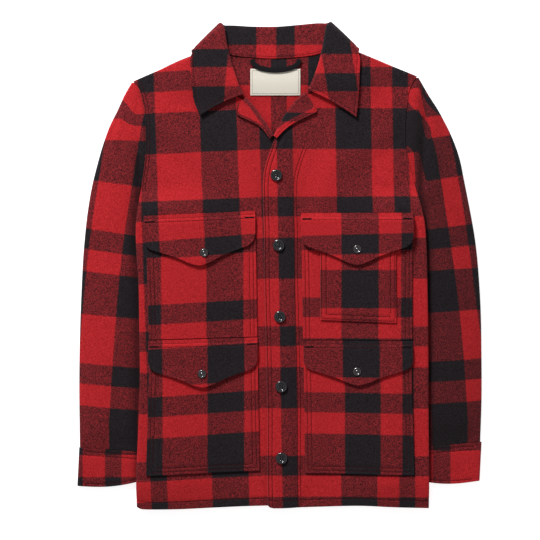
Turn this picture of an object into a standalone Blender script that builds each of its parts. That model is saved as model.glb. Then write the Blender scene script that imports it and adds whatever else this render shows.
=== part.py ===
"""A wool mackinaw jacket laid out flat on its back, with its sleeves down at its sides.

The garment is modelled as it is cut and sewn: back, two fronts that overlap at the placket, two
turned-out lapel facings, sleeves and cuffs as flattened tubes, a collar that folds over its own stand and
passes under the back of the neck, five patch pockets, four pointed flaps, buttons, snap caps, a hanging loop
and a neck label.

The tables are in millimetres. x runs to the right as the jacket is seen from above, y runs from the hem to
the collar, and z is the height over the surface. Left and right are as seen from above.
"""

import math

import bmesh
import bpy
import numpy as np

MM = 0.001
CENTRE = (0.087, 0.025, 0.0)  # of the garment's box, on the surface, which is moved to the origin

# Cloth and how its layers lie
WALL = 2.8  # heavy mackinaw wool
CUFF_WALL = 3.2
COLLAR_WALL = 3.0  # two layers, sewn and turned
LAPEL_WALL = 3.6
SLACK = 2.4  # air left between the front and the back walls
SEAM = 0.6  # between two edges that are sewn together
UNDERARM_GAP = 1.0  # added to it at the underarm, where both edges roll over
REST = 0.45  # between a panel and a piece that lies on it
LAPEL_REST = 1.1
HALF = WALL + SLACK / 2  # from the garment's mid plane to its outer face
MIDDLE = HALF - WALL / 2  # from the mid plane to the middle of a wall
LAYER = WALL + REST
EDGE_GAP = 1.2  # each rolled edge stops this far short of the mid plane
ROLL_ANGLES = (90, 45, 14)  # where the points of a rolled edge lie, in degrees

# Heights that lift the garment off the surface
SLEEVE_LIFT = 9.2  # the body's sides lie on the sleeves
COLLAR_LIFT = 5.3  # the back of the neck lies on the collar's fall
NECK_CENTRE = -7.0
PLACKET_RISE = 3.4  # the right front lies on the left one
UNDER_BODY = (75.0, 183.0)  # distance from the middle over which the body climbs onto the sleeves
BODY_MIDDLE = 3.0
LIFT_ENDS = (86.0, 131.0)  # the y over which that lift ends, below the armholes

# Buttons and snaps
BUTTON_RADIUS = 9.5
BUTTON_HEIGHT = 3.8
SNAP_RADIUS = 7.2
SNAP_HEIGHT = 2.6
ROUND_STEPS = 16

# Outlines of the body. Columns: y, x
SIDE_LEFT = (
    (-388, -227.0),
    (-346, -227.5),
    (-262, -224.2),
    (-182, -221.6),
    (-102, -222.5),
    (-16, -224.2),
    (30, -227.6),
    (69, -227.6),
    (104, -223.0),
    (132, -220.5),
    (160, -216.5),
    (190, -214.6),
    (224, -214.4),
    (250, -216.4),
    (270, -221.0),
    (286, -226.0),
    (295, -233.6),
)
SIDE_RIGHT = (
    (-387, 237.6),
    (-346, 237.6),
    (-229, 236.6),
    (-102, 236.0),
    (-20, 234.6),
    (30, 233.4),
    (77, 229.2),
    (107, 222.0),
    (138, 214.5),
    (168, 206.6),
    (190, 202.4),
    (224, 201.4),
    (260, 204.6),
    (286, 209.4),
    (303, 219.8),
)
# The left front's edge, hidden under the placket, then its roll line and the neck seam. Columns: y, x
EDGE_LEFT = (
    (-384, 14.0),
    (0, 14.0),
    (70, 14.0),
    (110, 13.6),
    (150, 10.0),
    (182, 2.0),
    (207, -12.0),
    (223.5, -23.0),
    (239.5, -34.0),
    (255, -45.6),
    (264, -54.6),
    (270, -66.4),
    (276, -72.4),
    (286, -76.4),
    (300, -80.8),
    (323, -91.6),
    (340, -97.6),
    (348, -100.4),
)
# The right front's edge, its roll line and the neck seam. Columns: y, x
EDGE_RIGHT = (
    (-384, -18.4),
    (-331, -19.4),
    (-225, -19.4),
    (-123, -21.6),
    (-6, -24.5),
    (60, -24.8),
    (115, -26.4),
    (139, -26.0),
    (161, -22.4),
    (181, -16.0),
    (206, -6.2),
    (221, 1.6),
    (238, 10.9),
    (254, 21.9),
    (262, 28.4),
    (267, 33.3),
    (272, 40.5),
    (277, 54.0),
    (282, 59.6),
    (288, 62.6),
    (302, 69.0),
    (325, 78.0),
    (345, 84.0),
    (353, 85.6),
)
# The y of the fronts' rows at their edges, from the hem up, without the shoulder seam
FRONT_ROWS = (
    (-384, -352, -300, -200, -100, 0, 70, 86, 98, 110, 122, 136, 150, 165, 180)
    + (195, 210, 225, 240, 253, 264, 270, 276, 286, 301, 318, 334)
)
# Shares of the way from a front's side seam to its edge
LEFT_COLUMNS = (0.0, 0.06, 0.13, 0.2, 0.27, 0.34, 0.41, 0.48, 0.56, 0.66, 0.8, 1.0)
RIGHT_COLUMNS = (
    (0.0, 0.06, 0.12, 0.18, 0.24, 0.3, 0.36, 0.43, 0.5, 0.6, 0.7, 0.79)
    + (0.815, 0.84, 0.87, 0.93, 1.0)
)
# Hems. Columns: share of the way from left to right, y
HEM_LEFT = ((0.0, -385.0), (0.04, -388.6), (0.22, -388.9), (0.5, -386.4), (0.85, -383.4), (1.0, -383.4))
HEM_RIGHT = (
    (0.0, -383.0),
    (0.025, -387.4),
    (0.14, -386.6),
    (0.37, -384.8),
    (0.6, -383.4),
    (0.78, -385.2),
    (1.0, -386.6),
)
HEM_BACK = ((0.0, -384.0), (0.2, -386.0), (0.5, -381.5), (0.8, -382.0), (1.0, -384.0))
# The shoulder seams. Columns: share of the way from the shoulder's tip to the neck, y above the chord
SHOULDER_BOW = ((0.0, 0.0), (0.25, 1.2), (0.6, 2.2), (1.0, 0.0))
# The back's top edge: shoulder, neck seam, shoulder. Columns: x, y
BACK_TOP = (
    (-233.6, 295.0),
    (-208.0, 305.2),
    (-180.0, 319.4),
    (-143.0, 334.6),
    (-99.5, 348.0),
    (-80.0, 337.0),
    (-50.0, 332.6),
    (-7.0, 330.6),
    (38.0, 333.6),
    (66.0, 339.0),
    (85.0, 353.0),
    (128.0, 340.6),
    (181.0, 316.0),
    (219.8, 303.0),
)

# Sleeves. Columns: y, x of the edge that shows
OUTER_LEFT = (
    (-290, -320.0),
    (-182, -321.0),
    (-54, -318.0),
    (42, -312.4),
    (90, -307.0),
    (128, -300.4),
    (160, -292.6),
    (198, -281.6),
    (224, -272.0),
    (249, -259.6),
    (275, -247.6),
    (294.0, -236.6),
)
OUTER_RIGHT = (
    (-281, 321.8),
    (-214, 324.0),
    (-150, 324.0),
    (-45, 321.4),
    (42, 313.6),
    (109, 301.6),
    (138, 295.8),
    (174, 288.2),
    (209, 275.4),
    (231, 264.6),
    (251, 253.6),
    (271, 240.8),
    (302.0, 222.8),
)
# Columns: y, x of the edge that lies under the body
INNER_LEFT = (
    (-298, -206.0),
    (-180, -192.0),
    (-60, -191.0),
    (-10, -206.0),
    (15, -222.0),
    (35, -231.0),
    (60, -233.4),
    (90, -231.2),
    (100, -229.8),
    (112, -228.0),
    (122, -226.8),
    (131, -224.9),
)
INNER_RIGHT = (
    (-291, 209.0),
    (-180, 200.0),
    (-60, 200.0),
    (-10, 212.0),
    (15, 226.0),
    (35, 236.4),
    (60, 237.4),
    (90, 232.8),
    (100, 230.4),
    (112, 227.2),
    (124, 223.6),
    (134, 220.2),
)
# The soft folds of a sleeve's top wall. Columns: share down it, share across it, length, width, height
FOLDS_LEFT = ((0.10, 0.46, 0.10, 0.10, 1.6), (0.20, 0.80, 0.12, 0.10, -1.2), (0.50, 0.30, 0.16, 0.16, 0.8))
FOLDS_RIGHT = ((0.10, 0.40, 0.12, 0.09, 2.2), (0.17, 0.62, 0.12, 0.08, -1.4), (0.46, 0.34, 0.20, 0.14, 0.9))
# Shares of the way from the cuff to the underarm
SLEEVE_ROWS = (0.0, 0.2, 0.38, 0.52, 0.62, 0.71, 0.79, 0.87, 0.94, 1.0)
SLEEVE_COLUMNS = 5  # between the rolled edges
SLEEVE_TIP = 8.0  # the sleeve's top row lies this far below the shoulder's tip
# Cuff corners. Columns: x, y, for the outer top, inner top, inner bottom and outer bottom
CUFF_LEFT = ((-321.0, -290.6), (-205.0, -299.0), (-205.0, -339.0), (-324.0, -352.0))
CUFF_RIGHT = ((324.0, -281.6), (208.0, -291.6), (208.0, -340.0), (320.8, -343.6))
CUFF_BOW = 6.6  # how far the cuff's lower edge bows down

# The collar. Columns: turn in degrees, neck seam x, y, roll line x, y, free edge x, y.
# The turn is 0 where the fall lies over the fronts and 180 where it lies under the back.
COLLAR = (
    (0, -65.8, 271.2, -61.0, 273.5, -126.5, 241.0),
    (0, -71.6, 281.0, -66.0, 282.0, -136.0, 262.0),
    (0, -78.4, 300.0, -72.0, 299.0, -139.5, 288.0),
    (0, -89.4, 323.0, -79.6, 323.0, -142.0, 312.0),
    (0, -95.4, 340.0, -87.0, 352.0, -142.2, 329.0),
    (0, -97.6, 348.5, -90.6, 376.6, -139.6, 338.0),
    (45, -97.6, 349.4, -91.0, 379.6, -135.5, 338.8),
    (90, -97.6, 350.4, -91.0, 381.4, -133.0, 338.5),
    (135, -96.6, 349.4, -90.6, 381.8, -132.0, 338.0),
    (180, -94.6, 348.0, -88.0, 382.2, -129.0, 333.0),
    (180, -79.5, 338.6, -72.0, 381.8, -106.0, 312.0),
    (180, -49.5, 334.2, -45.0, 380.0, -60.0, 301.0),
    (180, -7.0, 332.2, -4.0, 379.8, -5.0, 298.0),
    (180, 37.5, 335.2, 35.0, 383.0, 46.0, 301.5),
    (180, 65.0, 340.6, 60.0, 385.4, 92.0, 312.0),
    (180, 79.6, 352.0, 74.6, 385.4, 115.0, 333.0),
    (135, 81.6, 353.6, 77.4, 383.8, 119.0, 340.6),
    (90, 82.6, 354.4, 78.0, 382.8, 120.6, 341.0),
    (45, 82.6, 353.6, 77.6, 381.4, 122.6, 341.0),
    (0, 82.6, 352.6, 77.0, 379.0, 125.6, 338.6),
    (0, 80.6, 344.0, 73.0, 353.0, 128.2, 329.0),
    (0, 75.4, 325.0, 66.6, 325.0, 127.6, 310.0),
    (0, 66.4, 302.0, 58.6, 302.0, 126.6, 284.0),
    (0, 57.8, 285.2, 52.4, 287.0, 125.0, 258.0),
    (0, 52.2, 278.2, 47.6, 280.6, 122.5, 238.0),
)
COLLAR_ROLL = 2.6  # radius of the fold between stand and fall, to the middle of the wall
COLLAR_HOLLOW = 3.0  # how far the collar's front edges curve up

# Lapels. Columns: roll line x, y, outer edge x, y, from the foot of the V upwards
LAPEL_LEFT = (
    (-12.0, 207.0, -15.4, 203.4),
    (-23.0, 223.5, -31.0, 222.6),
    (-34.0, 239.5, -49.5, 233.0),
    (-45.6, 255.0, -68.8, 243.4),
    (-57.0, 266.8, -66.8, 258.6),
)
LAPEL_RIGHT = (
    (-6.6, 206.0, -4.6, 204.0),
    (1.4, 221.0, 8.6, 217.6),
    (10.6, 238.0, 24.0, 228.8),
    (21.6, 254.0, 41.6, 237.6),
    (33.0, 267.0, 57.6, 245.4),
    (42.6, 275.4, 59.4, 250.4),
)

# Pockets. Columns: corners x, y from the top left, clockwise
POCKETS = {
    "upper_left": ((-213.0, 64.0), (-38.0, 72.0), (-35.2, -113.0), (-207.6, -117.6)),
    "upper_right": ((35.0, 68.0), (211.4, 68.0), (211.4, -118.0), (37.6, -118.0)),
    "lower_left": ((-206.8, -136.0), (-35.0, -131.0), (-31.6, -327.0), (-212.6, -334.0)),
    "lower_right": ((38.4, -138.0), (209.4, -138.0), (214.6, -333.0), (41.2, -331.0)),
}
POCKET_SMALL = ((65.0, 46.0), (185.0, 46.0), (185.8, -90.4), (65.8, -86.0))
# Flaps. Columns: place, top left x, y, top right x, y, depth at the point, layer above the front, snap x, y
FLAPS = (
    ("upper_left", -216.0, 79.6, -38.6, 88.2, 83.0, 2, -120.2, 21.3),
    ("upper_right", 34.4, 84.8, 212.6, 84.8, 83.0, 3, 123.5, 26.6),
    ("lower_left", -208.8, -118.6, -35.2, -114.0, 77.0, 2, -123.5, -171.7),
    ("lower_right", 38.4, -119.0, 211.6, -119.0, 71.0, 2, 123.4, -168.0),
)
# The flaps' lower edge. Columns: share across, share of the depth
FLAP_EDGE = (
    (0.0, 0.44),
    (0.012, 0.54),
    (0.05, 0.635),
    (0.11, 0.69),
    (0.2, 0.755),
    (0.31, 0.845),
    (0.42, 0.955),
    (0.5, 1.0),
    (0.58, 0.955),
    (0.69, 0.845),
    (0.8, 0.755),
    (0.89, 0.69),
    (0.95, 0.635),
    (0.988, 0.54),
    (1.0, 0.44),
)
FLAP_STEP = 13.0  # over this length below its seam the flap climbs onto the pocket
FLAP_KICK = 2.0  # how far the free edge stands up

# Columns: x, y
BUTTONS = ((-5.0, 145.0), (-1.4, 33.0), (0.6, -81.0), (2.7, -192.6), (3.2, -307.0))
LABEL = (-46.6, 273.2, 33.4, 315.4)  # left, bottom, right, top
LABEL_WALL = 1.0
# The hanging loop's middle line. Columns: x, y
LOOP = (
    (-44.0, 330.0),
    (-40.0, 322.0),
    (-28.0, 315.6),
    (-6.6, 313.0),
    (15.0, 315.6),
    (28.0, 322.0),
    (32.0, 330.0),
)
LOOP_WIDTH = 8.0
LOOP_WALL = 2.0


def ramp(value, start, end):
    """0 at start and 1 at end, with no corner at either."""
    share = np.clip((np.asarray(value, float) - start) / (end - start), 0, 1)
    return share * share * (3 - 2 * share)


def lift(x, y):
    """How far the garment is raised at (x, y) by the sleeves and, at the neck, by the collar."""
    beside = ramp(np.abs(x - BODY_MIDDLE), *UNDER_BODY) * (1 - ramp(y, *LIFT_ENDS))
    droop = 1 - 0.6 * ramp(-y, 346.0, 392.0)
    neck = ramp(y, 250.0, 300.0) * (1 - ramp(np.abs(x - NECK_CENTRE), 140.0, 190.0))
    return SLEEVE_LIFT * beside * droop + COLLAR_LIFT * neck


def mid_plane(x, y):
    """Height of the plane halfway between the garment's outer faces."""
    return lift(x, y) + HALF


def front_height(x, y):
    """Height of the middle of a front's wall where it lies on the air inside the jacket."""
    return mid_plane(x, y) + MIDDLE


def placket_rise(x, y):
    """How far the right front is raised by the left one under it."""
    return PLACKET_RISE * (1 - ramp(x, 15.0, 33.0)) * (1 - ramp(y, 206.0, 240.0))


def through(table, at):
    """Rows on a smooth curve through the table's rows. Its first column is the parameter, `at` its values."""
    rows = np.array(table, float)
    knots, values = rows[:, 0], rows[:, 1:]
    slopes = np.gradient(values, knots, axis=0)
    at = np.clip(np.asarray(at, float), knots[0], knots[-1])
    k = np.clip(np.searchsorted(knots, at, side="right") - 1, 0, len(knots) - 2)
    step = (knots[k + 1] - knots[k])[:, None]
    s = (at - knots[k])[:, None] / step
    return (
        (2 * s**3 - 3 * s**2 + 1) * values[k]
        + (s**3 - 2 * s**2 + s) * step * slopes[k]
        + (3 * s**2 - 2 * s**3) * values[k + 1]
        + (s**3 - s**2) * step * slopes[k + 1]
    )


def by_rows(table, count):
    """`count` rows spread evenly over a table whose rows have no parameter of their own."""
    numbered = [(i, *row) for i, row in enumerate(table)]
    return through(numbered, np.linspace(0, len(table) - 1, count))


def rolled(shares, length, at_start, at_end):
    """Shares along `length`, with close ones put in where the cloth rolls over at either end."""
    roll = MIDDLE * (1 - np.sin(np.radians(ROLL_ANGLES))) / length
    shares = list(shares)
    if at_start:
        shares = list(roll) + shares[1:]
    if at_end:
        shares = shares[:-1] + list(1 - roll[::-1])
    return np.array(shares)


def front_rows():
    """Shares up a front for its rows."""
    rows = np.array(FRONT_ROWS, float)
    return rolled((*((rows - rows[0]) / (348 - rows[0])), 1.0), 720.0, False, True)


def roll_drop(distance, share=1.0):
    """How far a wall drops at a distance from its edge: a quarter circle, or a share of it."""
    inward = np.clip(1 - distance / MIDDLE, 0, 1) * share
    return (MIDDLE - EDGE_GAP) * (1 - np.sqrt(1 - inward**2))


def coons(bottom, top, left, right, u, v):
    """A grid inside four edges: both ways of joining opposite edges, less the one through the corners."""
    u, v = u[None, :, None], v[:, None, None]
    across = (1 - u) * left[:, None] + u * right[:, None]
    along = (1 - v) * bottom[None] + v * top[None]
    corners = (
        (1 - u) * (1 - v) * bottom[0]
        + u * (1 - v) * bottom[-1]
        + (1 - u) * v * top[0]
        + u * v * top[-1]
    )
    return across + along - corners


def quad_patch(corners, u, v):
    """A grid of points in a four-cornered piece. Corners go clockwise from the top left."""
    top_left, top_right, bottom_right, bottom_left = (np.array(c, float) for c in corners)
    u, v = u[None, :, None], v[:, None, None]
    low = (1 - u) * bottom_left + u * bottom_right
    high = (1 - u) * top_left + u * top_right
    return (1 - v) * low + v * high


def finish(name, colour, roughness, metallic=0.0):
    """A Principled BSDF for one sub-part."""
    material = bpy.data.materials.new(name)
    material.use_nodes = True
    shader = material.node_tree.nodes["Principled BSDF"]
    shader.inputs["Base Color"].default_value = (*colour, 1)
    shader.inputs["Roughness"].default_value = roughness
    shader.inputs["Metallic"].default_value = metallic
    material.diffuse_color = (*colour, 1)
    return material


def add_object(name, points, faces, material, wall=None):
    """An object in the jacket's collection. With `wall`, its surface is the middle of cloth that thick."""
    mesh = bpy.data.meshes.new(name)
    mesh.from_pydata(((np.asarray(points) - CENTRE) * MM).tolist(), [], faces)
    mesh.materials.append(finish(name, *material))
    mesh.shade_smooth()
    piece = bpy.data.objects.new(name, mesh)
    jacket.objects.link(piece)
    if wall:
        thick = piece.modifiers.new("Cloth", "SOLIDIFY")
        thick.thickness = wall * MM
        thick.offset = 0
    return piece


def grid_faces(rows, columns):
    """Quads of a grid of points, row by row."""
    quads = []
    for r in range(rows - 1):
        low, high = r * columns, (r + 1) * columns
        quads += [(low + c, low + c + 1, high + c + 1, high + c) for c in range(columns - 1)]
    return quads


def sheet(name, grid, material, wall=WALL):
    """A cloth wall on a grid of points, whose columns run to the right and whose rows run up the jacket."""
    rows, columns = grid.shape[:2]
    return add_object(name, grid.reshape(-1, 3), grid_faces(rows, columns), material, wall)


def with_height(xy, z):
    return np.concatenate([xy, np.broadcast_to(z, xy.shape[:2])[..., None]], axis=2)


def distance_from(xy, line):
    """Distance of each grid point from the point of `line` in its own row or column."""
    return np.linalg.norm(xy - line, axis=2)


def distance_to(xy, line):
    """Shortest distance of each grid point from a line through points."""
    step = np.diff(line, axis=0)
    away = xy[..., None, :] - line[:-1]
    share = np.clip((away * step).sum(-1) / (step**2).sum(-1), 0, 1)
    return np.linalg.norm(away - share[..., None] * step, axis=-1).min(-1)


def seam_fade(y):
    """1 down the side seam, 0 along the armhole, where the edge is sewn to the sleeve and doesn't roll."""
    return 1 - ramp(y, 112.0, 132.0)


def hem_line(table, u, left_x, right_x):
    x = left_x + (right_x - left_x) * u
    return np.stack([x, through(table, u)[:, 0]], axis=1)


def edge_line(table, v):
    """An outline read from its lowest to its highest y."""
    y = table[0][0] + (table[-1][0] - table[0][0]) * v
    return np.stack([through(table, y)[:, 0], y], axis=1)


def shoulder_line(start, end, u, tip_at_start):
    """A shoulder seam between two points, bowed a little upwards."""
    line = np.array(start) + (np.array(end) - np.array(start)) * u[:, None]
    from_tip = u if tip_at_start else 1 - u
    line[:, 1] += through(SHOULDER_BOW, from_tip)[:, 0]
    return line


def front(name, side, edge, hem, side_is_left, material):
    """One front: side seam and armhole, placket edge with roll line and neck seam, hem and shoulder."""
    columns = rolled(LEFT_COLUMNS if side_is_left else RIGHT_COLUMNS, 230.0, True, False)
    u = columns if side_is_left else 1 - columns[::-1]
    v = front_rows()
    outline, placket = edge_line(side, v), edge_line(edge, v)
    left, right = (outline, placket) if side_is_left else (placket, outline)
    bottom = hem_line(hem, u, left[0, 0], right[0, 0])
    top = shoulder_line(left[-1], right[-1], u, side_is_left)
    left[0], right[0] = bottom[0], bottom[-1]
    xy = coons(bottom, top, left, right, u, v)
    x, y = xy[..., 0], xy[..., 1]
    at_side = distance_from(xy, xy[:, :1] if side_is_left else xy[:, -1:])
    drop = np.maximum(roll_drop(at_side, seam_fade(y)), roll_drop(distance_from(xy, xy[-1:])))
    rise = 0.0 if side_is_left else placket_rise(x, y)
    return sheet(name, with_height(xy, front_height(x, y) - drop + rise), material)


def back(material):
    """The back: one panel from the left side seam to the right one."""
    across = np.array([row[0] for row in BACK_TOP])
    u = rolled((across - across[0]) / (across[-1] - across[0]), 455.0, True, True)
    v = front_rows()
    left, right = edge_line(SIDE_LEFT, v), edge_line(SIDE_RIGHT, v)
    bottom = hem_line(HEM_BACK, u, left[0, 0], right[0, 0])
    left[0], right[0] = bottom[0], bottom[-1]
    across = left[-1, 0] + (right[-1, 0] - left[-1, 0]) * u
    top = np.stack([across, through(BACK_TOP, across)[:, 0]], axis=1)
    top[0], top[-1] = left[-1], right[-1]
    xy = coons(bottom, top, left, right, u, v)
    x, y = xy[..., 0], xy[..., 1]
    at_side = np.minimum(distance_from(xy, xy[:, :1]), distance_from(xy, xy[:, -1:]))
    on_shoulder = ramp(np.abs(x - NECK_CENTRE), 88.0, 100.0)
    at_shoulder = roll_drop(distance_from(xy, xy[-1:]), on_shoulder)
    drop = np.maximum(roll_drop(at_side, seam_fade(y)), at_shoulder)
    return sheet("back", with_height(xy, mid_plane(x, y) - MIDDLE + drop), material)


def flattened(xy, folds, height, bump=0.0):
    """The rings of a flattened tube over a grid. Its walls meet along the folds, in half circles.

    The upper wall is raised by bump. Each ring starts and ends on the same edge.
    """
    inward = np.min([distance_to(xy, fold) for fold in folds], axis=0)
    share = np.clip(1 - inward / MIDDLE, 0, 1)
    half = MIDDLE * np.sqrt(1 - share**2)
    upper = with_height(xy, height + half + bump)
    lower = with_height(xy, height - half)
    return np.concatenate([upper, lower[:, -2::-1]], axis=1)


def tube(name, rings, material, wall):
    """A flattened tube of cloth. Where a ring ends on its own start, the walls are joined."""
    rows, columns = rings.shape[:2]
    piece = add_object(name, rings.reshape(-1, 3), grid_faces(rows, columns), material, wall)
    joined = bmesh.new()
    joined.from_mesh(piece.data)
    bmesh.ops.remove_doubles(joined, verts=joined.verts, dist=0.01 * MM)
    joined.to_mesh(piece.data)
    joined.free()
    return piece


def soft_folds(folds, along, across):
    """Height of the ridges and troughs of a sleeve: a smooth mound for each row of the table."""
    height = np.zeros(np.broadcast(along, across).shape)
    for down, over, length, width, rise in folds:
        height = height + rise * np.exp(-(((along - down) / length) ** 2) - ((across - over) / width) ** 2)
    return height


def sleeve(name, outer, inner, armhole, folds, side, material):
    """A sleeve, from its cuff to the shoulder. `side` is -1 on the left and 1 on the right.

    Up to the underarm it is a tube. Above it the walls part along the armhole, where the sleeve has the
    front's own points, set off by the seam.
    """
    low, high = outer[0][0], outer[-1][0]
    hidden_low, underarm = inner[0][0], inner[-1][0]
    shares = np.array(SLEEVE_ROWS)
    seam = edge_line(armhole, front_rows())
    tip = high - SLEEVE_TIP
    beside = seam[(seam[:, 1] > underarm + 4) & (seam[:, 1] < tip - 4), 1]
    armhole_y = np.concatenate([beside, [tip]])
    y = np.concatenate([low + (underarm - low) * shares, armhole_y])
    outline = np.stack([through(outer, y)[:, 0] - side * WALL / 2, y], axis=1)
    hidden_y = hidden_low + (underarm - hidden_low) * shares
    hidden = np.stack([through(inner, hidden_y)[:, 0], hidden_y], axis=1)
    gap = SEAM + UNDERARM_GAP * (1 - ramp(armhole_y, underarm, underarm + 40))
    sewn = np.stack([np.interp(armhole_y, seam[:, 1], seam[:, 0]) + side * gap, armhole_y], axis=1)
    inside = np.concatenate([hidden, sewn])
    widths = np.linalg.norm(inside - outline, axis=1)
    roll = MIDDLE * (1 - np.sin(np.radians(ROLL_ANGLES))) / widths[:, None]
    between = roll[:, -1:] + (1 - 2 * roll[:, -1:]) * np.linspace(0, 1, SLEEVE_COLUMNS + 2)[1:-1]
    u = np.concatenate([roll, between, 1 - roll[:, ::-1]], axis=1)[:, ::-1]
    xy = outline[:, None] + (inside - outline)[:, None] * u[..., None]
    along = (high - y[:, None]) / (high - low)
    bump = soft_folds(folds, along, u) * np.sin(np.pi * u)
    return tube(name, flattened(xy, (outline, hidden), HALF, bump), material, WALL)


def cuff(name, corners, side, material):
    """A cuff: a short, thicker tube below the sleeve's end, with its lower edge bowed."""
    u = rolled(np.linspace(0, 1, 7), 118.0, True, True)
    v = np.linspace(0, 1, 4)
    outer_top, inner_top, inner_bottom, outer_bottom = corners
    if side < 0:
        clockwise = (outer_top, inner_top, inner_bottom, outer_bottom)
    else:
        clockwise = (inner_top, outer_top, outer_bottom, inner_bottom)
    xy = quad_patch(clockwise, u, v)
    xy[..., 0] -= side * CUFF_WALL / 2 * (u if side > 0 else 1 - u)
    xy[..., 1] -= CUFF_BOW * np.sin(np.pi * u) * (1 - v[:, None])
    height = HALF + (CUFF_WALL - WALL) / 2
    return tube(name, flattened(xy, (xy[:, 0], xy[:, -1]), height), material, CUFF_WALL)


def collar(material):
    """The collar: up the stand from the neck seam, over the roll line and down the fall to its free edge.

    On the fronts the fall lies on top. Round each side of the neck it turns under, and lies below the back.
    """
    numbered = [(i, *row) for i, row in enumerate(COLLAR)]
    halves = np.concatenate([np.arange(5, 9), np.arange(15, 19)]) + 0.5
    stations = np.sort(np.concatenate([np.arange(len(COLLAR)), halves]))
    turn, seam_x, seam_y, roll_x, roll_y, free_x, free_y = through(numbered, stations).T
    turn = np.radians(np.interp(stations, np.arange(len(COLLAR)), [row[0] for row in COLLAR]))
    side = np.where(stations < 12, -1.0, 1.0)
    out = np.stack([side * 0.7 * np.sin(turn), 0.714 * np.sin(turn), np.cos(turn)], axis=1)
    seam, roll, free = (np.stack(p, axis=1) for p in ((seam_x, seam_y), (roll_x, roll_y), (free_x, free_y)))
    towards = roll - free
    towards /= np.linalg.norm(towards, axis=1)[:, None]
    towards = np.concatenate([towards, np.zeros((len(towards), 1))], axis=1)

    def at(xy, offset):
        """A point offset along the fold's own outward direction from the mid plane."""
        over_front = mid_plane(xy[:, 0], np.maximum(xy[:, 1], 262.0))
        z = np.where(turn > 0, COLLAR_LIFT + HALF, over_front)
        return np.concatenate([xy, z[:, None]], axis=1) + out * offset

    radius = COLLAR_ROLL
    lines = [at(seam + (roll - seam) * s, radius) for s in (0.0, 0.5)]
    for angle in np.radians((0, 45, 90, 135, 180)):
        offset = radius + radius * (1 - math.cos(angle))
        lines.append(at(roll, offset) + towards * radius * math.sin(angle))
    hollow = COLLAR_HOLLOW * np.where((stations < 1) | (stations > 23), 1.0, 0.0)
    for s in (0.2, 0.4, 0.6, 0.8, 1.0):
        xy = roll + (free - roll) * s
        xy[:, 1] += hollow * math.sin(math.pi * s)
        lines.append(at(xy, 3 * radius))
    grid = np.stack(lines, axis=0)
    return sheet("collar", grid, material, COLLAR_WALL)


def lapel(name, table, raised, material):
    """A lapel: the facing turned out over the front, rolled down at the roll line."""
    rows = by_rows(table, 8)
    roll, edge = rows[:, :2], rows[:, 2:]
    outward = (edge - roll) / np.linalg.norm(edge - roll, axis=1)[:, None]
    angles = np.radians((125, 90, 45, 0))
    radius = (WALL / 2 + LAPEL_REST + LAPEL_WALL / 2) / 2
    turned_over = roll[:, None] - outward[:, None] * radius * np.sin(angles)[None, :, None]
    across = np.array((0.3, 0.53, 0.76, 1.0))
    flat = roll[:, None] + (edge - roll)[:, None] * across[None, :, None]
    xy = np.concatenate([turned_over, flat], axis=1)
    x, y = xy[..., 0], xy[..., 1]
    rise = placket_rise(x, y) if raised else 0.0
    around = np.concatenate([radius * (1 + np.cos(angles)), np.full(len(across), 2 * radius)])
    grid = with_height(xy, front_height(x, y) + rise + around)
    if edge[0, 0] < roll[0, 0]:
        grid = grid[:, ::-1]
    return sheet(name, grid, material, LAPEL_WALL)


def pocket(name, corners, layers, u_count, v_count, material):
    """A patch pocket on a front, `layers` of cloth above the front's own wall."""
    xy = quad_patch(corners, np.linspace(0, 1, u_count), np.linspace(0, 1, v_count))
    return sheet(name, with_height(xy, front_height(xy[..., 0], xy[..., 1]) + layers * LAYER), material)


def flap_height(x, y, below_seam, depth, layers):
    """Height of a flap's wall: on the front at its seam, then up onto the pocket. Its free edge stands up."""
    climb = ramp(below_seam, 1.0, FLAP_STEP)
    kick = FLAP_KICK * ramp(below_seam / depth, 0.45, 1.0)
    return front_height(x, y) + LAYER * (1 + (layers - 1) * climb) + kick


def flap(name, top_left, top_right, depth, layers, material):
    """A pointed flap, sewn along its top edge above the pocket."""
    u = np.array([row[0] for row in FLAP_EDGE])
    share = through(FLAP_EDGE, u)[:, 0]
    seam = np.array(top_left) + (np.array(top_right) - np.array(top_left)) * u[:, None]
    v = np.array((1.0, 0.7, 0.42, 0.2, 0.1, 0.0))
    xy = np.repeat(seam[None], len(v), axis=0)
    below = v[:, None] * share[None] * depth
    xy[..., 1] -= below
    return sheet(name, with_height(xy, flap_height(xy[..., 0], xy[..., 1], below, depth, layers)), material)


def turned(name, profile, place, tilt, material):
    """A round piece turned about its own axis, from a profile of radius and height, set down at `place`."""
    mesh = bpy.data.meshes.new(name)
    edges = [(i, i + 1) for i in range(len(profile) - 1)]
    mesh.from_pydata([(r * MM, 0, h * MM) for r, h in profile], edges, [])
    mesh.materials.append(finish(name, *material))
    piece = bpy.data.objects.new(name, mesh)
    jacket.objects.link(piece)
    screw = piece.modifiers.new("Turn", "SCREW")
    screw.axis = "Z"
    screw.steps = screw.render_steps = ROUND_STEPS
    screw.use_merge_vertices = True
    screw.merge_threshold = 0.00001
    screw.use_smooth_shade = True
    piece.location = (np.array(place) - CENTRE) * MM
    piece.rotation_euler = (0, tilt, 0)
    return piece


def button_profile():
    """A sewn-through button with a raised rim and a dished middle, outer side from top to bottom."""
    radius, height = BUTTON_RADIUS, BUTTON_HEIGHT
    return (
        (0.0, height * 0.55),
        (radius * 0.5, height * 0.55),
        (radius * 0.62, height * 0.8),
        (radius * 0.76, height),
        (radius * 0.92, height * 0.9),
        (radius, height * 0.55),
        (radius * 0.9, height * 0.12),
        (radius * 0.7, 0.0),
        (0.0, 0.0),
    )


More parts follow.
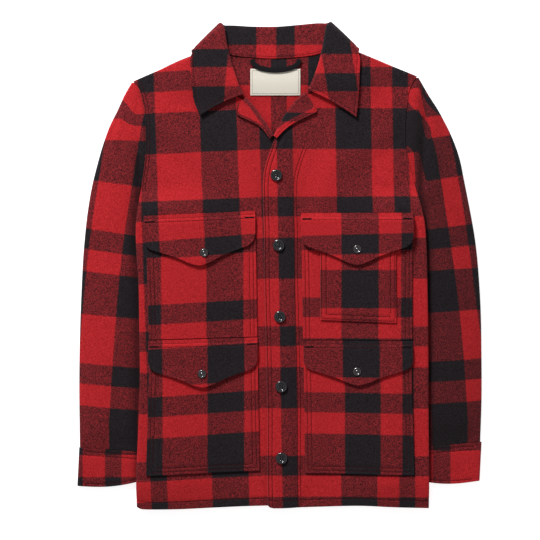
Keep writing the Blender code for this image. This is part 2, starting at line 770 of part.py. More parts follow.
def snap_profile():
    """A snap's domed cap."""
    radius, height = SNAP_RADIUS, SNAP_HEIGHT
    return (
        (0.0, height),
        (radius * 0.45, height * 0.9),
        (radius * 0.8, height * 0.55),
        (radius, height * 0.15),
        (radius * 0.96, 0.0),
        (0.0, 0.0),
    )


def slope_angle(x, y):
    """Tilt of the cloth across the jacket at (x, y)."""
    step = SNAP_RADIUS
    rise = front_height(np.float64(x + step), y) - front_height(np.float64(x - step), y)
    return -math.atan2(float(rise), 2 * step)


def label(material):
    """The neck label, flat on the inside of the back."""
    left, bottom, right, top = LABEL
    corners = ((left, top), (right, top), (right, bottom), (left, bottom))
    xy = quad_patch(corners, np.linspace(0, 1, 3), np.linspace(0, 1, 9))
    height = mid_plane(xy[..., 0], xy[..., 1]) - MIDDLE + WALL / 2 + REST + LABEL_WALL / 2
    return sheet("neck_label", with_height(xy, height), material, LABEL_WALL)


def hanging_loop(material):
    """The hanging loop: a folded tape that leaves the neck seam, bows down over the label and goes back."""
    line = by_rows(LOOP, 17)
    along = np.gradient(line, axis=0)
    along /= np.linalg.norm(along, axis=1)[:, None]
    across = np.stack([-along[:, 1], along[:, 0]], axis=1)
    shares = np.array((-0.5, 0.0, 0.5))
    xy = line[None] + across[None] * (shares * LOOP_WIDTH)[:, None, None]
    above_back = WALL / 2 + 2 * REST + LABEL_WALL + LOOP_WALL / 2
    height = mid_plane(xy[..., 0], xy[..., 1]) - MIDDLE + above_back
    return sheet("hanging_loop", with_height(xy, height), material, LOOP_WALL)


for old in list(bpy.data.objects):
    bpy.data.objects.remove(old, do_unlink=True)
jacket = bpy.data.collections.new("mackinaw_jacket")
bpy.context.scene.collection.children.link(jacket)

# Colour, roughness and metallic value of each material
RED_WOOL = ((0.44, 0.018, 0.024), 0.95)
DARK_RED_WOOL = ((0.14, 0.014, 0.018), 0.95)
BLACK_WOOL = ((0.024, 0.019, 0.021), 0.95)
HORN = ((0.012, 0.012, 0.013), 0.25)
SNAP_METAL = ((0.02, 0.02, 0.022), 0.3, 0.9)
LABEL_CLOTH = ((0.78, 0.74, 0.66), 0.8)
LOOP_TAPE = ((0.016, 0.015, 0.016), 0.9)

back(RED_WOOL)
front("front_left", SIDE_LEFT, EDGE_LEFT, HEM_LEFT, True, RED_WOOL)
front("front_right", SIDE_RIGHT, EDGE_RIGHT, HEM_RIGHT, False, RED_WOOL)
sleeve("sleeve_left", OUTER_LEFT, INNER_LEFT, SIDE_LEFT, FOLDS_LEFT, -1, DARK_RED_WOOL)
sleeve("sleeve_right", OUTER_RIGHT, INNER_RIGHT, SIDE_RIGHT, FOLDS_RIGHT, 1, DARK_RED_WOOL)
cuff("cuff_left", CUFF_LEFT, -1, RED_WOOL)
cuff("cuff_right", CUFF_RIGHT, 1, RED_WOOL)
collar(DARK_RED_WOOL)
lapel("lapel_left", LAPEL_LEFT, False, RED_WOOL)
lapel("lapel_right", LAPEL_RIGHT, True, RED_WOOL)
for where, corners in POCKETS.items():
    pocket(f"pocket_{where}", corners, 1, 13, 6, RED_WOOL)
pocket("pocket_small", POCKET_SMALL, 2, 9, 5, BLACK_WOOL)
for number, (x, y) in enumerate(BUTTONS, 1):
    top = float(front_height(np.float64(x), y)) + PLACKET_RISE + WALL / 2
    turned(f"button_{number}", button_profile(), (x, y, top + REST), 0.0, HORN)
for where, left_x, left_y, right_x, right_y, depth, layers, x, y in FLAPS:
    flap(f"flap_{where}", (left_x, left_y), (right_x, right_y), depth, layers, DARK_RED_WOOL)
    seam_y = left_y + (right_y - left_y) * (x - left_x) / (right_x - left_x)
    top = float(flap_height(np.float64(x), y, seam_y - y, depth, layers)) + WALL / 2
    turned(f"snap_{where}", snap_profile(), (x, y, top + REST), slope_angle(x, y), SNAP_METAL)
label(LABEL_CLOTH)
hanging_loop(LOOP_TAPE)
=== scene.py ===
"""A checked wool mackinaw jacket, laid flat on its back and seen from straight above.

The tables are in millimetres, as the jacket is measured on the table: x to the right, y from the hem to the
collar, z up from the surface. Left and right are as seen from above. Meshes are made in metres, in the frame.
"""

import math

import bpy
import numpy as np
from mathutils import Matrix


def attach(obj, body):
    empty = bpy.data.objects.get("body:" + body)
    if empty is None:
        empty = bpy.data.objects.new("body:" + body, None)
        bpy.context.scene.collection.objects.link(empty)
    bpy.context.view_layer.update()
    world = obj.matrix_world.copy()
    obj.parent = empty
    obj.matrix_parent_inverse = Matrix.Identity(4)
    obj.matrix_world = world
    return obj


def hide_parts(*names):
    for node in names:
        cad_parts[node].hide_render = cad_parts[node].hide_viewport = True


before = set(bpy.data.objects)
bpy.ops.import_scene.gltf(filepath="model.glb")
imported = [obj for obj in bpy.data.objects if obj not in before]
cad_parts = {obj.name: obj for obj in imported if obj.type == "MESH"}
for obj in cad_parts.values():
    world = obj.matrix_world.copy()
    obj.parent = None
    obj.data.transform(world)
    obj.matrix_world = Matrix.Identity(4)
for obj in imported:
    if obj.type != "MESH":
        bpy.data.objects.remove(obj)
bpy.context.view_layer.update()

# The table and the light
# A white acrylic table that is lit from below, under two soft boxes: a strong one from the upper left, and a
# weak fill from the lower right. The camera hangs straight above.
scene = bpy.context.scene
scene.view_settings.view_transform = "Standard"
scene.view_settings.look = "None"


def linear(hex_colour):
    """An sRGB hex colour as linear red, green and blue."""
    srgb = np.array([int(hex_colour[i : i + 2], 16) for i in (1, 3, 5)]) / 255
    return tuple(np.where(srgb <= 0.04045, srgb / 12.92, ((srgb + 0.055) / 1.055) ** 2.4))


def node(tree, kind, inputs=(), links=(), **settings):
    """Adds a node with its settings, its input values and the links that come into it."""
    added = tree.nodes.new(kind)
    for name, value in settings.items():
        setattr(added, name, value)
    for name, value in dict(inputs).items():
        added.inputs[name].default_value = value
    for name, output in dict(links).items():
        tree.links.new(output, added.inputs[name])
    return added


def painted(name, colour, roughness, **sockets):
    """A plain material of one colour, with constants on its shader. Returns it, its tree and its shader."""
    material = bpy.data.materials.new(name)
    material.use_nodes = True
    tree = material.node_tree
    shader = tree.nodes["Principled BSDF"]
    shader.inputs["Base Color"].default_value = (*linear(colour), 1)
    shader.inputs["Roughness"].default_value = roughness
    for socket, value in sockets.items():
        shader.inputs[socket.replace("_", " ")].default_value = value
    return material, tree, shader


# Opal acrylic, cast and matt: the light from below it fills the shadows
acrylic = painted(
    "backlit_white_acrylic", "#d2d2d2", 0.9, Emission_Color=(1, 1, 1, 1), Emission_Strength=0.8
)[0]
TABLE_HALF, TABLE_Z = 4.0, -0.0006  # metres. It lies just below the jacket
table_corners = [(TABLE_HALF * sx, TABLE_HALF * sy, TABLE_Z) for sx, sy in ((-1, -1), (1, -1), (1, 1), (-1, 1))]
floor_mesh = bpy.data.meshes.new("table_top")
floor_mesh.from_pydata(table_corners, [], [(0, 1, 2, 3)])
floor_mesh.materials.append(acrylic)
floor = bpy.data.objects.new("table_top", floor_mesh)
scene.collection.objects.link(floor)

world = bpy.data.worlds.new("studio")
scene.world = world
world.use_nodes = True
world.node_tree.nodes["Background"].inputs["Color"].default_value = (1, 1, 1, 1)
world.node_tree.nodes["Background"].inputs["Strength"].default_value = 0.31

# Columns: name, place in metres, width in metres, watts. Both point at the middle of the jacket
for name, place, size, power in (
    ("soft_box_left", (-1.1, 2.5, 1.9), 0.8, 132.0),
    ("soft_box_fill", (1.7, -1.3, 2.4), 1.6, 4.0),
):
    light = bpy.data.objects.new(name, bpy.data.lights.new(name, "AREA"))
    light.data.size = size
    light.data.energy = power
    light.location = place
    tilt = math.atan2(math.hypot(place[0], place[1]), place[2])
    light.rotation_euler = (tilt, 0, math.atan2(place[0], -place[1]))
    scene.collection.objects.link(light)

# A long lens. It shows 864 mm across at the height of the cloth, which is 540 pixels at 1.6 mm.
VIEW_WIDTH, CLOTH_HEIGHT = 0.864, 0.008  # metres
LENS, SENSOR = 85, 36
camera = bpy.data.objects.new("camera", bpy.data.cameras.new("camera"))
camera.data.lens = LENS
camera.data.sensor_width = SENSOR
camera.location = (-0.01526, -0.00633, VIEW_WIDTH * LENS / SENSOR + CLOTH_HEIGHT)
scene.collection.objects.link(camera)
scene.camera = camera

# The back
# One panel from side seam to side seam, of 24 oz mackinaw wool: a heavy twill, fulled and napped. The fronts,
# the sleeves and the collar are sewn to it.
WALL = 2.8  # the cloth
SLACK = 2.4  # air between the front and the back walls
HALF = WALL + SLACK / 2  # from the jacket's mid plane to its outer face
MIDDLE = HALF - WALL / 2  # from the mid plane to the middle of a wall
EDGE_GAP = 1.2  # each rolled edge stops this far short of the mid plane
SLEEVE_LIFT = 9.2  # the body's sides lie on the sleeves
COLLAR_LIFT = 5.3  # the back of the neck lies on the collar's fall
NECK_CENTRE = -7.0
BODY_MIDDLE = 3.0
UNDER_BODY = (75.0, 183.0)  # distance from the middle over which the body climbs onto the sleeves
LIFT_ENDS = (86.0, 131.0)  # the y over which that lift ends, below the armholes

# Side seams and armholes. Columns: y, x
SIDE_LEFT = (
    ((-388, -227.0), (-346, -227.5), (-262, -224.2), (-182, -221.6), (-102, -222.5), (-16, -224.2))
    + ((30, -227.6), (69, -227.6), (104, -223.0), (132, -220.5), (160, -216.5), (190, -214.6))
    + ((224, -214.4), (250, -216.4), (270, -221.0), (286, -226.0), (295, -233.6))
)
SIDE_RIGHT = (
    ((-387, 237.6), (-346, 237.6), (-229, 236.6), (-102, 236.0), (-20, 234.6), (30, 233.4), (77, 229.2))
    + ((107, 222.0), (138, 214.5), (168, 206.6), (190, 202.4), (224, 201.4), (260, 204.6), (286, 209.4))
    + ((303, 219.8),)
)
# The hem. Columns: share of the way from the left to the right, y
HEM_BACK = ((0.0, -384.0), (0.2, -386.0), (0.5, -381.5), (0.8, -382.0), (1.0, -384.0))
# The top edge: shoulder, neck seam, shoulder. Columns: x, y
BACK_TOP = (
    ((-233.6, 295.0), (-208.0, 305.2), (-180.0, 319.4), (-143.0, 334.6), (-99.5, 348.0), (-80.0, 337.0))
    + ((-50.0, 332.6), (-7.0, 330.6), (38.0, 333.6), (66.0, 339.0), (85.0, 353.0), (128.0, 340.6))
    + ((181.0, 316.0), (219.8, 303.0))
)


def ramp(value, start, end):
    """0 at start and 1 at end, with no corner at either: 3 s squared less 2 s cubed of the share s."""
    share = np.clip((np.asarray(value, float) - start) / (end - start), 0, 1)
    return share * share * (3 - 2 * share)


def lift(x, y):
    """How far the jacket is raised at (x, y): by the sleeves under its sides, less 60% of that at the hem, and
    by the collar under the back of its neck."""
    beside = ramp(np.abs(x - BODY_MIDDLE), *UNDER_BODY) * (1 - ramp(y, *LIFT_ENDS))
    droop = 1 - 0.6 * ramp(-y, 346.0, 392.0)
    neck = ramp(y, 250.0, 300.0) * (1 - ramp(np.abs(x - NECK_CENTRE), 140.0, 190.0))
    return SLEEVE_LIFT * beside * droop + COLLAR_LIFT * neck


def mid_plane(x, y):
    """Height of the plane halfway between the jacket's outer faces."""
    return lift(x, y) + HALF


def through(table, at):
    """A smooth curve through the table's rows: cubic pieces, whose slope at a row is the mean of the slopes on
    either side, weighed by distance. The first column is the parameter, and `at` holds its values."""
    rows = np.array(table, float)
    knots, values = rows[:, 0], rows[:, 1:]
    slopes = np.gradient(values, knots, axis=0)
    at = np.clip(np.asarray(at, float), knots[0], knots[-1])
    k = np.clip(np.searchsorted(knots, at, side="right") - 1, 0, len(knots) - 2)
    step = (knots[k + 1] - knots[k])[:, None]
    s = (at - knots[k])[:, None] / step
    return (
        (2 * s**3 - 3 * s**2 + 1) * values[k]
        + (s**3 - 2 * s**2 + s) * step * slopes[k]
        + (3 * s**2 - 2 * s**3) * values[k + 1]
        + (s**3 - s**2) * step * slopes[k + 1]
    )


def spread(length, pitch, at_start=(), at_end=()):
    """Shares from 0 to 1 along `length`, about `pitch` apart, and others at given distances from each end."""
    far = [length - distance for distance in at_end]
    low, high = max([0, *at_start]), min([length, *far])
    even = np.linspace(low, high, max(2, int(round((high - low) / pitch)) + 1))
    return np.unique(np.round(np.concatenate([[0.0], at_start, even, far, [length]]), 4)) / length


def panel_grid(bottom, top, left, right, u, v):
    """A grid inside four edges: the two grids that join opposite edges with straight lines, added, less the one
    that joins the four corners so."""
    u, v = u[None, :, None], v[:, None, None]
    across = (1 - u) * left[:, None] + u * right[:, None]
    along = (1 - v) * bottom[None] + v * top[None]
    low = (1 - u) * bottom[0] + u * bottom[-1]
    high = (1 - u) * top[0] + u * top[-1]
    return across + along - (1 - v) * low - v * high


def edge_line(table, v):
    """An outline read from its lowest to its highest y."""
    y = table[0][0] + (table[-1][0] - table[0][0]) * v
    return np.stack([through(table, y)[:, 0], y], axis=1)


def meet(line, corner):
    """An outline moved to start at a corner. The shift dies away over its first 30 mm."""
    return line + (corner - line[0]) * (1 - ramp(line[:, 1] - line[0, 1], 0.0, 30.0))[:, None]


def distance_from(xy, line):
    """Distance of each grid point from the point of `line` in its own row or column."""
    return np.linalg.norm(xy - line, axis=2)


def roll_drop(distance, share=1.0):
    """How far a wall drops at a distance from its rolled edge: along a quarter circle, or a share of it."""
    inward = np.clip(1 - distance / MIDDLE, 0, 1) * share
    return (MIDDLE - EDGE_GAP) * (1 - np.sqrt(1 - inward**2))


def seam_fade(y):
    """1 down the side seam, 0 along the armhole, where the edge is sewn to the sleeve and doesn't roll."""
    return 1 - ramp(y, 112.0, 132.0)


def creases(x, y, table):
    """Heights of soft ridges and troughs: each row's height times exp(-(distance across / width) squared). It
    dies away likewise past its ends. Columns: x, y of one end, x, y of the other, width, height."""
    height = np.zeros(np.broadcast(x, y).shape)
    for x0, y0, x1, y1, width, rise in table:
        length = math.hypot(x1 - x0, y1 - y0)
        along = ((x - x0) * (x1 - x0) + (y - y0) * (y1 - y0)) / length
        across = ((y - y0) * (x1 - x0) - (x - x0) * (y1 - y0)) / length
        past = np.maximum(np.maximum(-along, along - length), 0) / (width * 1.4)
        height = height + rise * np.exp(-((across / width) ** 2) - past**2)
    return height


# The check. Its repeat is 189 mm of warp and 205.5 mm of weft, and each piece carries its own count of both, in
# mm from the middle of a wide red stripe, as its UV map.
# Where red ends, black ends, red ends, black ends, and the repeat ends in the middle of the wide red stripe
WARP_STRIPES = (35.0, 93.0, 128.0, 154.0, 189.0)
WEFT_STRIPES = (37.7, 69.2, 102.7, 167.7, 205.5)
SOFT_EDGE = 0.7  # half the width over which one colour turns to the other
TWILL_PITCH = 2.6  # the real lines are 1.2 apart, too fine to show


def count(x, y, warp, weft):
    """The check's counts at (x, y): distance from the middle of a wide red stripe, times the cloth's stretch.

    warp: x of that middle at y = 0, stretch, and how far the stripe leans in x for each mm of y.
    weft: y of that middle at x = 0, stretch, and how far the stripe rises in y for each mm of x."""
    u = (x - warp[0] - warp[2] * y) * warp[1]
    v = (weft[0] + weft[2] * x - y) * weft[1]
    return np.stack(np.broadcast_arrays(u, v), axis=-1)


def striped(tree, counted, stripes, ragged):
    """1 on red stripes and 0 on black ones, along one count, whose edges are ragged by `ragged` mm."""
    repeat = stripes[-1]
    moved = node(tree, "ShaderNodeMath", links={0: counted, 1: ragged}, operation="ADD")
    share = node(tree, "ShaderNodeMath", {1: 1 / repeat}, {0: moved.outputs[0]}, operation="MULTIPLY")
    part = node(tree, "ShaderNodeMath", links={0: share.outputs[0]}, operation="FRACT")
    bands = node(tree, "ShaderNodeValToRGB", links={"Fac": part.outputs[0]})
    steps = bands.color_ramp.elements
    soft = SOFT_EDGE / repeat
    for i, edge in enumerate(stripes[:-1]):
        red = 1.0 if i % 2 == 0 else 0.0
        for at, value in ((edge / repeat - soft, red), (edge / repeat + soft, 1 - red)):
            steps.new(at).color = (value, value, value, 1)
    steps[0].color = (1, 1, 1, 1)
    steps[-1].color = (1, 1, 1, 1)
    return bands.outputs["Color"]


def checked_wool(name, painted_brightness=1.0, red_share=0.60):
    """Fulled, napped wool twill, yarn dyed red and black: the fibres hide the yarns, so each zone is a melange.

    Its second argument scales all its colours: below 1 that is painted shade, a darker copy of the wool for nap
    that leans away from the light. `red_share` is the redness of the reddest fibres in the half-and-half zones."""
    material, tree, shader = painted(
        name, "#b1242b", 0.95, Sheen_Weight=0.05, Sheen_Roughness=0.6, Specular_IOR_Level=0.06
    )
    place = node(tree, "ShaderNodeTexCoord").outputs["Object"]
    check = node(tree, "ShaderNodeUVMap", uv_map="check").outputs["UV"]
    counts = node(tree, "ShaderNodeSeparateXYZ", links={0: check})
    # The zones' edges, frayed by 2 mm in tufts of about 2 mm
    tufts = {"Scale": 520.0, "Detail": 2.0, "Roughness": 0.6}
    frayed = node(tree, "ShaderNodeTexNoise", tufts, {"Vector": place})
    ragged = node(tree, "ShaderNodeMapRange", {"To Min": -2.0, "To Max": 2.0}, {"Value": frayed.outputs["Fac"]})
    warp = striped(tree, counts.outputs["X"], WARP_STRIPES, ragged.outputs[0])
    weft = striped(tree, counts.outputs["Y"], WEFT_STRIPES, ragged.outputs[0])
    both = node(tree, "ShaderNodeMath", links={0: warp, 1: weft}, operation="MULTIPLY").outputs[0]
    either = node(tree, "ShaderNodeMath", links={0: warp, 1: weft}, operation="MAXIMUM").outputs[0]
    one_only = node(tree, "ShaderNodeMath", links={0: either, 1: both}, operation="SUBTRACT").outputs[0]
    # Specks of under 2 mm, where single fibres catch the light
    fibres = {"Scale": 560.0, "Detail": 5.0, "Roughness": 0.85}
    specks = node(tree, "ShaderNodeTexNoise", fibres, {"Vector": place}).outputs["Fac"]
    # Twill lines at 45 degrees, swayed by the specks
    diagonal = node(
        tree, "ShaderNodeMath", links={0: counts.outputs["X"], 1: counts.outputs["Y"]}, operation="ADD"
    ).outputs[0]
    swayed = node(
        tree, "ShaderNodeMath", {1: 1.4}, {0: specks, 2: diagonal}, operation="MULTIPLY_ADD"
    ).outputs[0]
    phase = node(tree, "ShaderNodeMath", {1: 2 * math.pi / TWILL_PITCH}, {0: swayed}, operation="MULTIPLY")
    twill = node(tree, "ShaderNodeMath", links={0: phase.outputs[0]}, operation="SINE").outputs[0]
    # In the half-and-half zones about a quarter of the surface reads as red
    grain = node(tree, "ShaderNodeMapRange", {"From Min": 0.40, "From Max": 0.61}, {"Value": specks}).outputs[0]
    mixed = node(tree, "ShaderNodeMath", {1: 0.10}, {0: twill, 2: grain}, operation="MULTIPLY_ADD").outputs[0]
    share = node(tree, "ShaderNodeMapRange", {"To Min": 0.02, "To Max": red_share}, {"Value": mixed}).outputs[0]
    redness = node(
        tree, "ShaderNodeMath", links={0: one_only, 1: share, 2: both}, operation="MULTIPLY_ADD"
    ).outputs[0]
    dyes = []
    for dark, light in (("#0e0a0d", "#2b2529"), ("#8c1017", "#c52c30")):
        dye = node(tree, "ShaderNodeValToRGB", links={"Fac": grain})
        for end, colour in zip(dye.color_ramp.elements, (dark, light)):
            end.color = (*painted_brightness * np.array(linear(colour)), 1)
        dyes.append(dye.outputs["Color"])
    black, red = dyes
    dyed = node(tree, "ShaderNodeMix", links={0: redness, 6: black, 7: red}, data_type="RGBA").outputs[2]
    # Painted shade: the colour turns towards near black deep in a fold between two pieces, where little light
    # comes back, as far as the mesh's shade values say
    painted_shade = node(tree, "ShaderNodeAttribute", attribute_name="painted_shade").outputs["Fac"]
    colour = node(tree, "ShaderNodeMix", {7: (*linear("#12070a"), 1)}, {0: painted_shade, 6: dyed}, data_type="RGBA")
    tree.links.new(colour.outputs[2], shader.inputs["Base Color"])
    # The nap's hairs, 1 mm apart, over the last of the twill
    nap = node(tree, "ShaderNodeTexNoise", {"Scale": 900.0, "Detail": 3.0, "Roughness": 0.7}, {"Vector": place})
    hairs = node(tree, "ShaderNodeMath", {1: 0.1}, {0: twill, 2: nap.outputs["Fac"]}, operation="MULTIPLY_ADD")
    bump = node(tree, "ShaderNodeBump", {"Strength": 0.45, "Distance": 0.0007}, {"Height": hairs.outputs[0]})
    tree.links.new(bump.outputs["Normal"], shader.inputs["Normal"])
    return material


mackinaw_wool = checked_wool("mackinaw_wool")
# The right sleeve's: the same wool with its colours darkened all over as painted shade, for nap that leans away
# from the light, and with fewer red fibres in its half-and-half zones
painted_shade_wool = checked_wool("mackinaw_wool_painted_shade", 0.88, 0.42)


def in_frame(points):
    """Millimetres on the table to metres in the frame, which starts at the middle of the jacket's box."""
    return (np.asarray(points, float) - (0.087, 0.025, 0.0)) / 1000


def grid_faces(rows, columns):
    """Quads of a grid of points, as an array."""
    first = (np.arange(rows - 1)[:, None] * columns + np.arange(columns - 1)).reshape(-1, 1)
    return first + np.array([0, 1, columns + 1, columns])


def made(name, points, faces, material):
    """A piece of one smooth mesh, from its points in millimetres on the table and its faces."""
    mesh = bpy.data.meshes.new(name)
    mesh.from_pydata(in_frame(points.reshape(-1, 3)).tolist(), [], faces)
    mesh.shade_smooth()
    mesh.materials.append(material)
    piece = bpy.data.objects.new(name, mesh)
    scene.collection.objects.link(piece)
    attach(piece, "root")
    return piece


def cloth(
    name, grid, counts, wall, replaced, tube=False, turned=1.0, material=mackinaw_wool, painted_shade=None
):
    """A cloth wall whose middle is the grid: rows up the jacket, columns to the right. Its edges are rounded by
    `turned` mm.

    With `tube`, the points where a ring of the grid ends on its own start are joined. The last argument holds
    painted shade: 0 at the grid's open points and up to 1 deep in a fold, where the colour is darkened towards
    black."""
    faces = grid_faces(*grid.shape[:2])
    piece = made(name, grid, faces.tolist(), material)
    check = piece.data.uv_layers.new(name="check")
    check.data.foreach_set("uv", counts.reshape(-1, 2)[faces.ravel()].ravel().astype(np.float32))
    if painted_shade is not None:
        painted_shade_layer = piece.data.attributes.new("painted_shade", "FLOAT", "POINT")
        painted_shade_layer.data.foreach_set("value", painted_shade.ravel().astype(np.float32))
    if tube:
        piece.modifiers.new("joined", "WELD").merge_threshold = 0.00001
    thick = piece.modifiers.new("cloth", "SOLIDIFY")
    thick.thickness = wall / 1000
    thick.offset = 0
    rim = piece.modifiers.new("turned_edge", "BEVEL")
    rim.width = turned / 1000
    rim.segments = 3
    rim.limit_method = "ANGLE"
    rim.angle_limit = math.radians(50)
    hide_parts(replaced)
    return piece


def raised(xy, z):
    """A grid of (x, y) with its heights."""
    return np.concatenate([xy, np.broadcast_to(z, xy.shape[:2])[..., None]], axis=2)


# Distances of the mesh's lines from a seam, close enough for its roll and its stitches' grooves
SEAM_LINES = (0.4, 1.0, 2.2, 3.4, 4.6, 6.8, 8.6)
u_back = spread(455.0, 7.0, SEAM_LINES, SEAM_LINES)
v_back = spread(740.0, 7.0, SEAM_LINES, SEAM_LINES)
left, right = edge_line(SIDE_LEFT, v_back), edge_line(SIDE_RIGHT, v_back)
hem_x = left[0, 0] + (right[0, 0] - left[0, 0]) * u_back
bottom = np.stack([hem_x, through(HEM_BACK, u_back)[:, 0]], axis=1)
top_x = left[-1, 0] + (right[-1, 0] - left[-1, 0]) * u_back
top = np.stack([top_x, through(BACK_TOP, top_x)[:, 0]], axis=1)
left, right = meet(left, bottom[0]), meet(right, bottom[-1])
top[0], top[-1] = left[-1], right[-1]
xy = panel_grid(bottom, top, left, right, u_back, v_back)
x, y = xy[..., 0], xy[..., 1]
at_side = np.minimum(distance_from(xy, xy[:, :1]), distance_from(xy, xy[:, -1:]))
on_shoulder = ramp(np.abs(x - NECK_CENTRE), 88.0, 100.0)
at_shoulder = roll_drop(distance_from(xy, xy[-1:]), on_shoulder)
drop = np.maximum(roll_drop(at_side, seam_fade(y)), at_shoulder)
# Painted shade on the back beside the rolled fronts and collar: how dark it is painted. Columns as for the
# creases
NECK_PAINTED_SHADE = (
    (-14.0, 208.0, -58.0, 262.0, 9.0, 0.5),
    (-64.0, 272.0, -78.0, 300.0, 9.0, 0.5),
    (-82.0, 312.0, -92.0, 340.0, 8.0, 0.4),
    (0.0, 214.0, 30.0, 262.0, 6.0, 0.3),
    (52.0, 284.0, 72.0, 330.0, 7.0, 0.35),
    (-90.0, 334.0, 80.0, 334.0, 4.0, 0.3),
)
# Seen from inside, the check's warp runs the other way
back = cloth(
    "back_panel",
    raised(xy, mid_plane(x, y) - MIDDLE + drop),
    count(-x, y, (-136.0, 1.03, 0.0), (251.8, 1.0, 0.0)),
    WALL,
    "back",
    # painted shade beside the rolled fronts and collar
    painted_shade=np.clip(creases(x, y, NECK_PAINTED_SHADE), 0, 0.6),
)

# The fronts
# Two panels sewn to the back at the sides and shoulders. The right one laps over the left one, and both roll
# out at the open neck. Both have a hem and a facing, whose stitching draws the cloth in.
PLACKET_RISE = 3.4  # the right front lies on the left one
# Rows of stitches, by their distance from the edge: down the placket, and down the left armhole's seam
PLACKET_ROWS = (2.6, 8.6, 49.0, 54.0)
ARMHOLE_ROWS = (2.2, 6.8)
HEM_ROW = 12.0
NECK_FOOT = (196.0, 214.0)  # the y over which the placket's rows end, at the foot of the open neck
# Each front's placket edge, roll line and neck seam. Columns: y, x
EDGE_LEFT = (
    ((-384, 14.0), (0, 14.0), (70, 14.0), (110, 13.6), (150, 10.0), (182, 2.0), (207, -12.0), (223.5, -23.0))
    + ((239.5, -34.0), (255, -45.6), (264, -54.6), (270, -66.4), (276, -72.4), (286, -76.4), (300, -80.8))
    + ((323, -91.6), (340, -97.6), (348, -100.4))
)
EDGE_RIGHT = (
    ((-384, -18.4), (-331, -19.4), (-225, -19.4), (-123, -21.6), (-6, -24.5), (60, -24.8), (115, -26.4))
    + ((139, -26.0), (161, -22.4), (181, -16.0), (206, -6.2), (221, 1.6), (238, 10.9), (254, 21.9), (262, 28.4))
    + ((267, 33.3), (272, 40.5), (277, 54.0), (282, 59.6), (288, 62.6), (302, 69.0), (325, 78.0), (345, 84.0))
    + ((353, 85.6),)
)
# Hems. Columns: share of the way from the left to the right, y
HEM_LEFT = (
    ((0.0, -385.0), (0.012, -387.0), (0.03, -388.2), (0.07, -388.8), (0.14, -388.9), (0.25, -388.6))
    + ((0.5, -386.4), (0.85, -383.4), (1.0, -383.4))
)
HEM_RIGHT = (
    ((0.0, -383.0), (0.01, -385.4), (0.025, -386.8), (0.06, -387.2), (0.14, -386.6), (0.37, -384.8))
    + ((0.6, -383.4), (0.78, -385.2), (1.0, -386.6))
)
# The shoulder seams. Columns: share of the way from the shoulder's tip to the neck, y above the chord
SHOULDER_BOW = ((0.0, 0.0), (0.25, 1.2), (0.6, 2.2), (1.0, 0.0))
# Soft folds of the fronts: drag lines under the arms and beside the pockets. Columns as for the creases
FRONT_CREASES = (
    (-196.0, 196.0, -120.0, 124.0, 15.0, -1.5),
    (-180.0, 214.0, -96.0, 150.0, 14.0, 1.2),
    (-208.0, 122.0, -216.0, 84.0, 9.0, -1.2),
    (190.0, 196.0, 120.0, 134.0, 16.0, -1.5),
    (176.0, 216.0, 100.0, 166.0, 14.0, 1.2),
    (214.0, 90.0, 222.0, 0.0, 9.0, -1.0),
    (66.0, 206.0, 40.0, 112.0, 15.0, -1.3),
    (92.0, 210.0, 74.0, 104.0, 15.0, 1.3),
    (-66.0, 214.0, -44.0, 112.0, 15.0, 1.2),
    (-34.0, 190.0, -26.0, 108.0, 11.0, -1.2),
    (-222.0, -150.0, -222.0, -300.0, 8.0, -0.8),
    (226.0, -130.0, 226.0, -310.0, 8.0, -0.8),
    (-150.0, -346.0, -60.0, -352.0, 9.0, 0.7),
    (120.0, -350.0, 200.0, -346.0, 9.0, 0.7),
)


def placket_rise(x, y):
    """How far the right front is raised by the left one under it."""
    return PLACKET_RISE * (1 - ramp(x, 15.0, 33.0)) * (1 - ramp(y, 206.0, 240.0))


def front_height(x, y):
    """Height of the middle of a front's wall, without its folds."""
    return mid_plane(x, y) + MIDDLE


def shoulder_line(start, end, u, tip_at_start):
    """A shoulder seam between two points, bowed a little upwards."""
    line = np.array(start) + (np.array(end) - np.array(start)) * u[:, None]
    line[:, 1] += through(SHOULDER_BOW, u if tip_at_start else 1 - u)[:, 0]
    return line


def groove(distance, at, depth=0.9, width=1.3):
    """The trough that a row of stitches pulls into the cloth, `at` mm from an edge: its depth times
    exp(-(distance from the row / width) squared)."""
    return -depth * np.exp(-(((distance - at) / width) ** 2))


def front(side, edge, hem, u, side_is_left):
    """A front's grid, between its side seam and armhole, its placket and neck seam, its hem and shoulder."""
    v = spread(740.0, 4.0, (*SEAM_LINES, 9.6, 10.8, 12.0, 13.2, 14.4), (0.6, 1.4, 2.6))
    outline, placket = edge_line(side, v), edge_line(edge, v)
    left, right = (outline, placket) if side_is_left else (placket, outline)
    hem_x = left[0, 0] + (right[0, 0] - left[0, 0]) * u
    bottom = np.stack([hem_x, through(hem, u)[:, 0]], axis=1)
    top = shoulder_line(left[-1], right[-1], u, side_is_left)
    left, right = meet(left, bottom[0]), meet(right, bottom[-1])
    xy = panel_grid(bottom, top, left, right, u, v)
    x, y = xy[..., 0], xy[..., 1]
    at_side = distance_from(xy, xy[:, :1] if side_is_left else xy[:, -1:])
    at_edge = distance_from(xy, xy[:, -1:] if side_is_left else xy[:, :1])
    at_hem = distance_from(xy, xy[:1])
    drop = np.maximum(roll_drop(at_side, seam_fade(y)), roll_drop(distance_from(xy, xy[-1:])))
    below_neck = 1 - ramp(y, *NECK_FOOT)
    height = front_height(x, y) - drop + groove(at_hem, HEM_ROW)
    if side_is_left:
        height = height + sum(groove(at_side, at, 0.8) for at in ARMHOLE_ROWS) * (1 - seam_fade(y))
        # The trough where the placket presses on it
        beside_placket = x - through(EDGE_RIGHT, y.ravel())[:, 0].reshape(y.shape)
        height = height + groove(beside_placket, -1.8, 1.2, 2.4) * below_neck
    clear = ramp(at_side, 4.0, 14.0) * ramp(at_edge, 4.0, 30.0) * ramp(at_hem, 10.0, 30.0)
    height = height + creases(x, y, FRONT_CREASES) * clear
    if not side_is_left:
        height = height + placket_rise(x, y) + sum(groove(at_edge, at) for at in PLACKET_ROWS) * below_neck
    return raised(xy, height)


